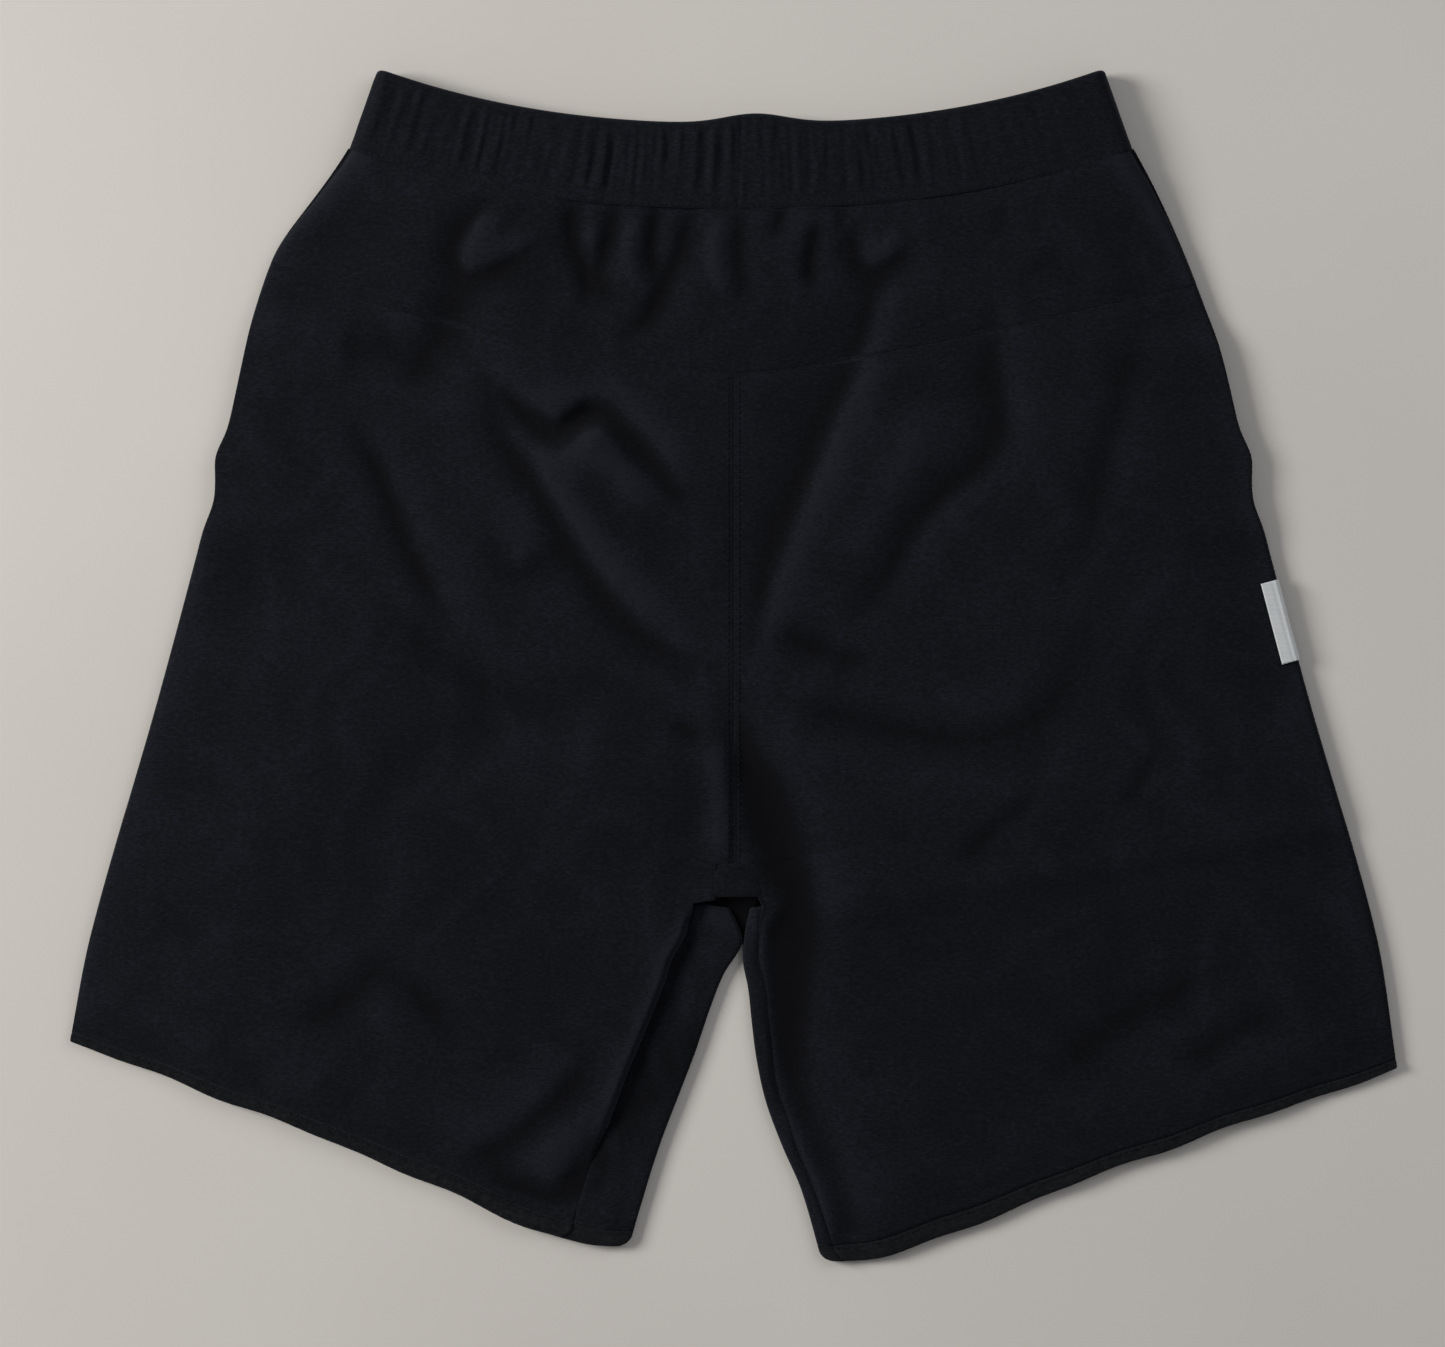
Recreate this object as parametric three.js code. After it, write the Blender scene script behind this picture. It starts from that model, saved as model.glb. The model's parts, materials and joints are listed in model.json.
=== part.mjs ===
// Knit boxing shorts, laid flat on a table with their back side up.
//
// Millimetres, +Z up. The waist lies towards +Y and the wearer's left leg on the -X side. The front
// panels lie on the table at z = 0 and the back panels LOFT above it, rising to WAIST_LOFT at the
// waistband, so that the waist, the legs and the pockets stay open between the two layers. Every
// piece of cloth is a closed sheet of its own, given as rows of points on its outer face with the
// point of its inner face behind each.

import * as THREE from "three";

// ---- driving dimensions -------------------------------------------------------------------

const CLEARANCE = 0.3; // between pieces that are sewn together
const FABRIC = 1.2; // the knit's thickness
const WAIST_EASE = 60; // the stretch below the waistband over which one height eases to the other

// Half widths of the flat garment, and how far below the ends of the waist each is measured.
const TOP_Y = 286.5;
const WAIST_HALF = 174.7;
const BAND_HALF = 188.5;
const YOKE_HALF = 223;
const YOKE_DROP = 96;
const HIP_HALF = 246.7;
const HIP_DROP = 186;
const THIGH_HALF = 276.5;
const THIGH_DROP = 298;
const KNEE_HALF = 309;
const KNEE_DROP = 412;
const HEM_HALF = 319.5;

// Waistband.
const WAIST_SAG = 24; // the middle of the waist below its ends
const SAG_POWER = 2.4; // how flat the sag's bottom is
const FRONT_DIP = 15; // the front of the waist below the back, at the middle
const ELASTIC_WIDTH = 38;
const ELASTIC_THICK = 1.4;
const WAIST_OPENING = 5.4; // the free height between the two halves of the casing
const CASING_SEAM = 1.2; // the casing below the elastic, where it is sewn to the panels
const CASING = 2 * FABRIC + 2 * CLEARANCE + ELASTIC_THICK; // through the folded casing
const BAND_HEIGHT = FABRIC + ELASTIC_WIDTH + 2 * CLEARANCE + CASING_SEAM;
const WAIST_LOFT = 2 * CASING + WAIST_OPENING; // the top of the waistband above the table

// Seams.
const YOKE_CENTRE = 143.5; // the yoke seam's middle below the waist ends
const YOKE_POWER = 1.4; // how pointed the yoke seam is
const CROTCH_DROP = 396.5; // the gusset's fold below the waist ends
const CROTCH_RISE = 45; // the side seam's point level with the crotch lies this much higher
const SIDE_ROLL = 14; // how far in from the side the back panel reaches its full height
const WRAP_START = 4; // the wraps over the inner legs start this far below the gusset's fold
const WRAP_TOP = 10; // how far the front panel wraps over the inner leg, at the crotch
const WRAP_HEM = 24; // and at the hem
const FOLD_RADIUS = 2.6; // the front panel's fold at the inner leg
const GUSSET_HALF = 12;
const GUSSET_TIP = 9; // the gusset's half width at its two seams
const GUSSET_LENGTH = 17; // either ply of the gusset, from its seam to the fold
const GUSSET_ROUND = 5; // how far behind the fold the gusset reaches its full height

// Hems.
const BINDING_HEIGHT = 7;
const BINDING_THICK = 2.2;
const HEM_BOW = 7; // how far the hem drops below a straight line near the inner leg

// Pockets, in the side seams.
const MOUTH_DROP = 104; // the mouth's upper end below the waist ends
const MOUTH_LENGTH = 128;
const MOUTH_EASE = 26; // the stretch at each end over which the mouth opens
const MOUTH_GAPE = 4.8; // the free height between the bag's two plies
const POCKET_DEPTH = 128;
const POCKET_ABOVE = 8; // the bag above the mouth
const POCKET_BELOW = 70; // the bag below the mouth
const POCKET_SEAM = 12; // how far in from its sewn edge the bag opens fully
const POCKET_INSET = 5.5; // the bag's sewn edge from the side seam
const POCKET_CLOTH = 0.8;
const MOUTH_EDGE = 2 * (FABRIC + CLEARANCE + POCKET_CLOTH) + MOUTH_GAPE; // the stack at the mouth
const LOFT = MOUTH_EDGE + FABRIC; // the top of the back panels above the table

// Labels.
const FLAG_LENGTH = 40; // along the side seam
const FLAG_REACH = 9.5; // from the seam to its folded end
const FLAG_THICK = 1;
const FLAG_DROP = 244; // its upper end below the waist ends
const FLAG_SEAM = 9; // the seam that holds it, in from the side
const FLAG_RISE = 1.2; // its hinge line above the cloth
const LABEL_CLOTH = 0.6;
const SIZE_LABEL = { width: 34, height: 24 };
const CARE_LABEL = { width: 26, height: 42, drop: 360 };

// How each leg happens to lie: `corner` is the hem's outer end and `tip` its inner end, both below
// the crotch, and `inner` is the leg's inner edge as [share of the way down the leg, x].
const LEGS = {
  left: {
    side: -1,
    corner: 69,
    tip: 167,
    inner: [[0, 1], [0.09, 3], [0.19, -5.8], [0.3, -16], [0.5, -26], [0.8, -40], [1, -49]],
  },
  right: {
    side: 1,
    corner: 82.5,
    tip: 174,
    inner: [[0, 9], [0.09, 6], [0.15, 5], [0.37, 10.6], [0.51, 15.4], [0.65, 25], [0.78, 33], [1, 42.5]],
  },
};

const BLACK_KNIT = { color: 0x17191d, roughness: 0.92, metalness: 0 };
const POCKET_MESH = { color: 0x1b1c1f, roughness: 0.95, metalness: 0 };
const ELASTIC = { color: 0xd9d9d4, roughness: 0.8, metalness: 0 };
const WHITE_LABEL = { color: 0xcfd1d2, roughness: 0.6, metalness: 0 };

// ---- small helpers ------------------------------------------------------------------------

const { clamp, lerp, smoothstep } = THREE.MathUtils;
const smooth = (t) => smoothstep(t, 0, 1);
const fromTo = (a, b, n) => Array.from({ length: n + 1 }, (_, k) => lerp(a, b, k / n));
const plan = (x, y) => new THREE.Vector2(x, y);
const up = (p, z) => new THREE.Vector3(p.x, p.y, z);

// Shares from 0 to 1 with `n` even steps in the middle and finer ones within `edge` of both ends.
const edged = (n, edge) => [
  ...fromTo(0, edge, 4).slice(0, -1),
  ...fromTo(edge, 1 - edge, n),
  ...fromTo(1 - edge, 1, 4).slice(1),
];

// A smooth value through [at, value] pairs.
function through(pairs) {
  const slope = (k) => {
    const [a, b] = [pairs[Math.max(k - 1, 0)], pairs[Math.min(k + 1, pairs.length - 1)]];
    return (b[1] - a[1]) / (b[0] - a[0]);
  };
  return (at) => {
    const k = clamp(pairs.filter(([p]) => p <= at).length - 1, 0, pairs.length - 2);
    const [[p0, v0], [p1, v1]] = [pairs[k], pairs[k + 1]];
    const [t, step] = [(at - p0) / (p1 - p0), p1 - p0];
    const [t2, t3] = [t * t, t * t * t];
    const pull = (t3 - 2 * t2 + t) * step * slope(k) + (t3 - t2) * step * slope(k + 1);
    return (2 * t3 - 3 * t2 + 1) * v0 + (3 * t2 - 2 * t3) * v1 + pull;
  };
}

// A geometry of the triangles, turned so that they face out of the body that they close.
function closedBody(points, triangles) {
  let volume = 0;
  for (const [a, b, c] of triangles) {
    volume += points[a].dot(new THREE.Vector3().crossVectors(points[b], points[c]));
  }
  const facing = volume < 0 ? triangles.map(([a, b, c]) => [a, c, b]) : triangles;
  const geometry = new THREE.BufferGeometry().setFromPoints(points);
  geometry.setIndex(facing.flat());
  return geometry.toNonIndexed();
}

// A closed sheet of cloth from rows of [outer point, inner point]. `keep(j, i)` says whether the
// cell below row j and right of column i belongs to it.
function sheet(rows, keep = () => true) {
  const [nj, ni] = [rows.length, rows[0].length];
  const points = [...rows.flat().map(([outer]) => outer), ...rows.flat().map(([, inner]) => inner)];
  const behind = nj * ni;
  const kept = (j, i) => j >= 0 && i >= 0 && j < nj - 1 && i < ni - 1 && keep(j, i);
  const triangles = [];
  const quad = (a, b, c, d) => triangles.push([a, b, c], [a, c, d]);
  const wall = (a, b) => quad(b, a, behind + a, behind + b);
  for (let j = 0; j < nj - 1; j++) {
    for (let i = 0; i < ni - 1; i++) {
      if (!kept(j, i)) continue;
      const [a, b, c, d] = [j * ni + i, j * ni + i + 1, (j + 1) * ni + i + 1, (j + 1) * ni + i];
      quad(a, b, c, d);
      quad(behind + a, behind + d, behind + c, behind + b);
      if (!kept(j - 1, i)) wall(a, b);
      if (!kept(j, i + 1)) wall(b, c);
      if (!kept(j + 1, i)) wall(c, d);
      if (!kept(j, i - 1)) wall(d, a);
    }
  }
  return closedBody(points, triangles);
}

// A band whose section is a closed outline of [inwards, down] carried along frames of
// { at, inward, down }. It is a ring where `closed` says so, and has two end faces otherwise.
function band(outline, frames, closed) {
  const n = outline.length;
  const points = frames.flatMap(({ at, inward, down }) =>
    outline.map(([a, b]) => at.clone().addScaledVector(inward, a).addScaledVector(down, b)),
  );
  const triangles = [];
  for (let k = 0; k < frames.length - (closed ? 0 : 1); k++) {
    const next = (k + 1) % frames.length;
    for (let i = 0; i < n; i++) {
      const [a, b] = [k * n + i, k * n + ((i + 1) % n)];
      const [c, d] = [next * n + ((i + 1) % n), next * n + i];
      triangles.push([a, b, c], [a, c, d]);
    }
  }
  if (!closed) {
    const flat = outline.map(([a, b]) => plan(a, b));
    const last = (frames.length - 1) * n;
    const turned = THREE.ShapeUtils.isClockWise(flat);
    for (const face of THREE.ShapeUtils.triangulateShape(flat, [])) {
      const [a, b, c] = turned ? face.toReversed() : face;
      triangles.push([a, c, b], [last + a, last + b, last + c]);
    }
  }
  return closedBody(points, triangles);
}

const group = new THREE.Group();
group.name = "boxing_shorts";

// Adds a piece to the garment under its own name.
function add(name, geometry, look, parent = group) {
  geometry.computeVertexNormals();
  const made = new THREE.Mesh(geometry, new THREE.MeshStandardMaterial(look));
  made.name = name;
  parent.add(made);
  return made;
}

// ---- how the garment lies, in plan ----------------------------------------------------------

const BAND_TILT = Math.asin((BAND_HALF - WAIST_HALF) / BAND_HEIGHT);
const BAND_Y = TOP_Y - (BAND_HEIGHT + CLEARANCE) * Math.cos(BAND_TILT);
const CROTCH_Y = TOP_Y - CROTCH_DROP;
const LEG_TOP_Y = CROTCH_Y - WRAP_START;
const MOUTH_TOP = TOP_Y - MOUTH_DROP;
const MOUTH_END = MOUTH_TOP - MOUTH_LENGTH;

for (const leg of Object.values(LEGS)) {
  const half = through([
    [TOP_Y - BAND_Y, BAND_HALF],
    [YOKE_DROP, YOKE_HALF],
    [HIP_DROP, HIP_HALF],
    [THIGH_DROP, THIGH_HALF],
    [KNEE_DROP, KNEE_HALF],
    [CROTCH_DROP + leg.corner, HEM_HALF],
  ]);
  const innerX = through(leg.inner);
  leg.halfAt = (y) => half(TOP_Y - y);
  leg.sideAt = (y) => plan(leg.side * leg.halfAt(y), y);
  leg.sideAtCrotch = CROTCH_Y + CROTCH_RISE;
  // The ends of the leg's row at share v of the way from the crotch to the hem.
  leg.outer = (v) => leg.sideAt(lerp(leg.sideAtCrotch - WRAP_START, CROTCH_Y - leg.corner, v));
  leg.inner = (v) => plan(innerX(v), lerp(LEG_TOP_Y, CROTCH_Y - leg.tip, v));
}

// A point on the leg's row at v, `off` away from its inner edge.
function onLeg(leg, v, off) {
  const [outer, inner] = [leg.outer(v), leg.inner(v)];
  const share = 1 - off / outer.distanceTo(inner);
  const bow = HEM_BOW * v ** 3 * Math.sin(Math.PI * clamp(share, 0, 1) ** 4);
  return outer.lerp(inner, share).sub(plan(0, bow));
}

const rowLength = (leg, v) => leg.outer(v).distanceTo(leg.inner(v));
const wrapAt = (v) => lerp(WRAP_TOP, WRAP_HEM, smooth(v * 1.6));

// Where the panels stop and the hem bindings start, as a share of the way down the leg.
const legLength = (leg) => LEG_TOP_Y - CROTCH_Y + leg.tip;
const panelEnd = (leg) => 1 - (BINDING_HEIGHT + CLEARANCE) / legLength(leg);
const bindingTop = (leg) => 1 - BINDING_HEIGHT / legLength(leg);

// The waist's upper edge and the band's lower seam, at share s from the left side to the right.
const dropAcross = (s, dip) => {
  const across = Math.min(1, Math.abs(2 * s - 1));
  return (WAIST_SAG + dip) * (1 - across ** SAG_POWER);
};
const bandDown = (s) => {
  const tilt = BAND_TILT * (2 * s - 1);
  return new THREE.Vector3(Math.sin(tilt), -Math.cos(tilt), 0);
};
const bandSeam = (s, dip) => {
  const reach = plan(bandDown(s).x, bandDown(s).y).multiplyScalar(BAND_HEIGHT + CLEARANCE);
  return plan(lerp(-WAIST_HALF, WAIST_HALF, s), TOP_Y - dropAcross(s, dip)).add(reach);
};

// The yoke seam's y at x.
const yokeSeam = (x) => {
  const share = 1 - Math.min(1, Math.abs(x) / YOKE_HALF) ** YOKE_POWER;
  return TOP_Y - lerp(YOKE_DROP, YOKE_CENTRE, share);
};

// ---- how high the cloth lies ---------------------------------------------------------------

const sewnEdge = (thick) => 2 * thick + CLEARANCE;

// How far the pocket mouth is open at y, from 0 to 1.
const mouthOpen = (y) => smooth((MOUTH_TOP - y) / MOUTH_EASE) * smooth((y - MOUTH_END) / MOUTH_EASE);

// The top of the back layer at a plan point, for cloth of the given thickness.
function backTop(leg, p, thick = FABRIC) {
  const edge = lerp(sewnEdge(thick), MOUTH_EDGE, mouthOpen(p.y));
  const seam = BAND_Y - dropAcross(0.5 + p.x / 2 / BAND_HALF, 0);
  const loft = lerp(WAIST_LOFT, LOFT, smooth((seam - p.y) / WAIST_EASE));
  return lerp(edge, loft, smooth((leg.halfAt(p.y) - leg.side * p.x) / SIDE_ROLL));
}

const backPly = (leg, p, thick = FABRIC) => {
  const top = backTop(leg, p, thick);
  return [up(p, top), up(p, top - thick)];
};
const frontPly = (p, thick = FABRIC) => [up(p, 0), up(p, thick)];

// Columns across a back panel of the given width, close together where it rolls down to the side.
const rollColumns = (width) => {
  const rolled = SIDE_ROLL / width;
  return [...fromTo(0, rolled, 5), ...fromTo(rolled, 1, 7).slice(1)];
};

// The fold of cloth that starts flat on the table and comes up and back over itself: [distance
// behind the fold's outermost point, height, outward x, outward z] from bottom to top.
function foldOver(reach) {
  const under = fromTo(-Math.PI / 2, 0, 4).map((a) => {
    const [c, s] = [Math.cos(a), Math.sin(a)];
    return [FOLD_RADIUS * (1 - c), FOLD_RADIUS * (1 + s), c, s];
  });
  const over = fromTo(0, Math.PI / 2, 7).map((b) => {
    const [c, s] = [Math.cos(b), Math.sin(b)];
    const rise = LOFT - FOLD_RADIUS;
    const size = Math.hypot(c / reach, s / rise);
    return [reach * (1 - c), FOLD_RADIUS + rise * s, c / reach / size, s / rise / size];
  });
  return [...under, ...over.slice(1)];
}

// ---- waistband -----------------------------------------------------------------------------

// Frames of the band's outer face at its upper edge, half way round: across the back or the front,
// and down round the bend at either side to where `gap` is left before the side seam.
function bandFrames(back, gap) {
  const bend = WAIST_LOFT / 2;
  const across = (s) => {
    const x = lerp(bend - WAIST_HALF, WAIST_HALF - bend, s);
    return plan(x, TOP_Y - dropAcross(s, back ? 0 : FRONT_DIP));
  };
  const lift = back ? 1 : -1;
  const round = (s, angle) => {
    const down = bandDown(s);
    const out = new THREE.Vector3(-down.y, down.x, 0).multiplyScalar(s < 0.5 ? -1 : 1);
    const inward = out.multiplyScalar(-Math.sin(angle)).add(up(plan(0, 0), -lift * Math.cos(angle)));
    return { at: up(across(s), bend).addScaledVector(inward, -bend), inward, down };
  };
  const stop = Math.PI / 2 - gap;
  return [
    ...fromTo(stop, 0, 5).map((angle) => round(0, angle)),
    ...fromTo(0, 1, 30).slice(1, -1).map((s) => round(s, 0)),
    ...fromTo(0, stop, 5).map((angle) => round(1, angle)),
  ];
}

const casingOutline = [
  [0, FABRIC],
  [0, BAND_HEIGHT],
  [FABRIC, BAND_HEIGHT],
  [FABRIC, FABRIC],
  [CASING - FABRIC, FABRIC],
  [CASING - FABRIC, BAND_HEIGHT],
  [CASING, BAND_HEIGHT],
  [CASING, FABRIC],
  [CASING - FABRIC, 0],
  [FABRIC, 0],
];
const SEAM_GAP = Math.asin(CLEARANCE / 2 / (WAIST_LOFT / 2 - CASING));
add("waistband_back", band(casingOutline, bandFrames(true, SEAM_GAP), false), BLACK_KNIT);
add("waistband_front", band(casingOutline, bandFrames(false, SEAM_GAP), false), BLACK_KNIT);

const elasticIn = FABRIC + CLEARANCE;
const elasticOutline = [
  [elasticIn, elasticIn],
  [elasticIn, elasticIn + ELASTIC_WIDTH],
  [elasticIn + ELASTIC_THICK, elasticIn + ELASTIC_WIDTH],
  [elasticIn + ELASTIC_THICK, elasticIn],
];
const elasticRing = [...bandFrames(true, 0), ...bandFrames(false, 0).toReversed().slice(1, -1)];
add("waist_elastic", band(elasticOutline, elasticRing, true), ELASTIC);

// ---- back yoke -----------------------------------------------------------------------------

const yokeColumns = [...rollColumns(2 * YOKE_HALF).slice(0, 6), ...fromTo(0.06, 0.5, 8)];
const yokeShares = [...yokeColumns, ...yokeColumns.map((s) => 1 - s).toReversed().slice(1)];
const yokeRows = fromTo(0, 1, 6).map((t) => {
  // The side bows out of the straight line between the two seams' ends.
  const sideBow = LEGS.left.halfAt(lerp(BAND_Y, TOP_Y - YOKE_DROP, t)) - lerp(BAND_HALF, YOKE_HALF, t);
  return yokeShares.map((s) => {
    const x = lerp(-YOKE_HALF, YOKE_HALF, s);
    const p = bandSeam(s, 0).lerp(plan(x, yokeSeam(x) + CLEARANCE / 2), t);
    p.x += sideBow * (2 * s - 1) * Math.abs(2 * s - 1) ** 3;
    return backPly(s < 0.5 ? LEGS.left : LEGS.right, p);
  });
});
add("back_yoke", sheet(yokeRows), BLACK_KNIT);

// ---- leg panels ----------------------------------------------------------------------------

// The body's inner edge at y: the centre seam, then the gusset's side.
function centreEdge(leg, y) {
  const share = clamp((y - CROTCH_Y) / GUSSET_LENGTH, 0, 1);
  const beside = lerp(GUSSET_HALF, GUSSET_TIP, share) + 1.5 * CLEARANCE;
  return plan(leg.side * (y > CROTCH_Y + GUSSET_LENGTH + CLEARANCE ? CLEARANCE / 2 : beside), y);
}

const BODY_ROW = 15.8; // the longest step between two of the body's rows at the inner edge

// Heights at which the body's rows reach its inner edge, from `top` to the crotch.
function bodyHeights(top) {
  const tip = CROTCH_Y + GUSSET_LENGTH;
  const rows = Math.ceil((top - tip) / BODY_ROW);
  return [...fromTo(top, tip + 1.2 * CLEARANCE, rows), ...fromTo(tip + CLEARANCE, CROTCH_Y, 4)];
}

for (const [name, leg] of Object.entries(LEGS)) {
  const inwards = (a, b, shares) => shares.map((s) => a.clone().lerp(b, s));

  // The back panel: from the yoke seam down to the hem binding.
  const yokeEnd = TOP_Y - YOKE_DROP - CLEARANCE / 2;
  const yokeMiddle = TOP_Y - YOKE_CENTRE - CLEARANCE / 2;
  const backColumns = rollColumns(YOKE_HALF);
  const backBody = bodyHeights(yokeMiddle).map((y) => {
    const t = (yokeMiddle - y) / (yokeMiddle - CROTCH_Y);
    const outer = leg.sideAt(lerp(yokeEnd, leg.sideAtCrotch, t));
    return inwards(outer, centreEdge(leg, y), backColumns).map((p, i) => {
      const x = YOKE_HALF * (1 - backColumns[i]);
      const straight = lerp(yokeEnd, yokeMiddle, backColumns[i]);
      const bow = (yokeSeam(x) - CLEARANCE / 2 - straight) * (1 - t);
      return backPly(leg, plan(p.x, p.y + bow));
    });
  });
  const backRow = (v, thick) => {
    const width = rowLength(leg, v) - wrapAt(v) - CLEARANCE;
    return backColumns.map((s) => {
      const p = onLeg(leg, v, wrapAt(v) + CLEARANCE + width * (1 - s));
      return backPly(leg, p, thick);
    });
  };
  const backLeg = fromTo(0, panelEnd(leg), 11).map((v) => backRow(v, FABRIC));
  add(`back_leg_${name}`, sheet([...backBody, ...backLeg]), BLACK_KNIT);
  const hemRows = fromTo(bindingTop(leg), 1, 2);
  add(`hem_binding_back_${name}`, sheet(hemRows.map((v) => backRow(v, BINDING_THICK))), BLACK_KNIT);

  // The front panel: from the waistband down, flat on the table, and wrapped over the inner leg.
  const flatShares = fromTo(0, 1, 10);
  const waistMiddle = bandSeam(0.5, FRONT_DIP).y;
  const frontBody = bodyHeights(waistMiddle).map((y) => {
    const t = (waistMiddle - y) / (waistMiddle - CROTCH_Y);
    const outer = leg.sideAt(lerp(BAND_Y, leg.sideAtCrotch, t));
    const flat = inwards(outer, centreEdge(leg, y), flatShares).map((p, i) => {
      const seam = bandSeam(0.5 + (leg.side * (1 - flatShares[i])) / 2, FRONT_DIP);
      const bow = (seam.y - lerp(BAND_Y, waistMiddle, flatShares[i])) * (1 - t);
      return frontPly(plan(p.x, p.y + bow));
    });
    return [...flat, ...foldOver(WRAP_TOP).slice(1).map(() => flat.at(-1))];
  });
  const frontRow = (v, thick) => {
    const place = ([off, z, outX, outZ]) => {
      const p = onLeg(leg, v, off);
      const ahead = leg.inner(v).sub(leg.outer(v)).normalize().multiplyScalar(outX * thick);
      return [up(p, z), up(p.clone().sub(ahead), z - outZ * thick)];
    };
    const width = rowLength(leg, v) - FOLD_RADIUS;
    const flat = flatShares.map((s) => frontPly(onLeg(leg, v, FOLD_RADIUS + width * (1 - s)), thick));
    return [...flat, ...foldOver(wrapAt(v)).slice(1).map(place)];
  };
  const frontLeg = fromTo(0, panelEnd(leg), 11).map((v) => frontRow(v, FABRIC));
  const inBody = (j, i) => j >= frontBody.length || i < flatShares.length - 1;
  add(`front_leg_${name}`, sheet([...frontBody, ...frontLeg], inBody), BLACK_KNIT);
  add(`hem_binding_front_${name}`, sheet(hemRows.map((v) => frontRow(v, BINDING_THICK))), BLACK_KNIT);
}

// ---- crotch gusset -------------------------------------------------------------------------

const gussetProfile = [
  [GUSSET_LENGTH, 0, 0, -1],
  ...foldOver(GUSSET_ROUND),
  [GUSSET_LENGTH, LOFT, 0, 1],
];
const gussetRows = gussetProfile.map(([behind, z, outY, outZ]) =>
  fromTo(-1, 1, 6).map((s) => {
    const half = lerp(GUSSET_HALF, GUSSET_TIP, behind / GUSSET_LENGTH);
    const p = plan(s * half, CROTCH_Y + behind);
    return [up(p, z), new THREE.Vector3(p.x, p.y + outY * FABRIC, z - outZ * FABRIC)];
  }),
);
add("crotch_gusset", sheet(gussetRows), BLACK_KNIT);

// ---- pockets -------------------------------------------------------------------------------

const FRONT_PLY = FABRIC + CLEARANCE; // the underside of the bag's front ply
const BACK_PLY = FRONT_PLY + POCKET_CLOTH + CLEARANCE; // the underside of the back ply, sewn shut

for (const [name, leg] of Object.entries(LEGS)) {
  const height = POCKET_ABOVE + MOUTH_LENGTH + POCKET_BELOW;
  const bag = edged(14, POCKET_SEAM / height).map((t) => {
    const y = MOUTH_TOP + POCKET_ABOVE - height * t;
    const open = mouthOpen(y) ** 2;
    const below = smooth((MOUTH_END - y) / POCKET_BELOW);
    const inset = lerp(POCKET_INSET, 2 * CLEARANCE, open) + 0.2 * POCKET_DEPTH * below;
    const depth = POCKET_DEPTH * (1 - 0.22 * (2 * t - 1) ** 4);
    const outer = plan(leg.side * (leg.halfAt(y) - inset), y);
    const inner = plan(leg.side * (leg.halfAt(y) - depth), y);
    const width = depth - inset;
    return edged(5, POCKET_SEAM / width).map((s) => {
      const side = lerp(smooth((s * width) / POCKET_SEAM), 1, open);
      const others = [(1 - s) * width, t * height, (1 - t) * height].map((d) => smooth(d / POCKET_SEAM));
      const lift = (MOUTH_GAPE - CLEARANCE) * side * others[0] * others[1] * others[2];
      return { p: outer.clone().lerp(inner, s), lift };
    });
  });
  const ply = (underside) =>
    sheet(bag.map((row) => row.map(({ p, lift }) => {
      const z = underside(lift);
      return [up(p, z + POCKET_CLOTH), up(p, z)];
    })));
  add(`pocket_front_ply_${name}`, ply(() => FRONT_PLY), POCKET_MESH);
  add(`pocket_back_ply_${name}`, ply((lift) => BACK_PLY + lift), POCKET_MESH);
}

// ---- labels --------------------------------------------------------------------------------

// The flag label lies down the slope beside the right side seam and can be turned over.
{
  const leg = LEGS.right;
  const y = TOP_Y - FLAG_DROP - FLAG_LENGTH / 2;
  const lean = Math.atan((leg.halfAt(y - 10) - leg.halfAt(y + 10)) / 20);
  const seam = plan(leg.halfAt(y) - FLAG_SEAM, y);
  const foot = plan(leg.halfAt(y) - CLEARANCE, y);
  const slope = Math.atan2(backTop(leg, seam) - backTop(leg, foot), FLAG_SEAM - CLEARANCE);
  const section = new THREE.Shape();
  section.absarc(0, 0, FLAG_THICK / 2, Math.PI / 2, (3 * Math.PI) / 2, false);
  section.lineTo(FLAG_REACH - FLAG_THICK, -FLAG_THICK / 2);
  section.absarc(FLAG_REACH - FLAG_THICK / 2, 0, FLAG_THICK / 2, -Math.PI / 2, Math.PI / 2, false);
  const flag = new THREE.ExtrudeGeometry(section, {
    depth: FLAG_LENGTH,
    bevelEnabled: false,
    curveSegments: 6,
  });
  flag.translate(0, 0, -FLAG_LENGTH / 2).rotateX(Math.PI / 2);
  const hinge = new THREE.Group();
  hinge.position.copy(up(seam, backTop(leg, seam) + FLAG_RISE));
  hinge.rotation.z = lean;
  group.add(hinge);
  add("side_label", flag, WHITE_LABEL, hinge).rotation.y = slope;
}

// The size label hangs inside the back of the waist and the care label in the left side seam.
const sizeLabel = new THREE.BoxGeometry(SIZE_LABEL.width, SIZE_LABEL.height, LABEL_CLOTH);
const sizeLabelEnd = plan(0, bandSeam(0.5, 0).y - CLEARANCE - SIZE_LABEL.height);
add("size_label", sizeLabel, WHITE_LABEL).position.set(
  0,
  sizeLabelEnd.y + SIZE_LABEL.height / 2,
  backTop(LEGS.left, sizeLabelEnd) - FABRIC - CLEARANCE - LABEL_CLOTH / 2,
);

const careY = TOP_Y - CARE_LABEL.drop;
const careLabel = new THREE.BoxGeometry(CARE_LABEL.width, CARE_LABEL.height, LABEL_CLOTH);
add("care_label", careLabel, WHITE_LABEL).position.set(
  CARE_LABEL.width / 2 + SIDE_ROLL - LEGS.left.halfAt(careY),
  careY,
  FABRIC + CLEARANCE + LABEL_CLOTH / 2,
);

// The garment is centred over the origin and rests on z = 0.
const box = new THREE.Box3().setFromObject(group);
const middle = box.getCenter(new THREE.Vector3());
group.position.set(-middle.x, -middle.y, -box.min.z);

export default group;
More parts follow.
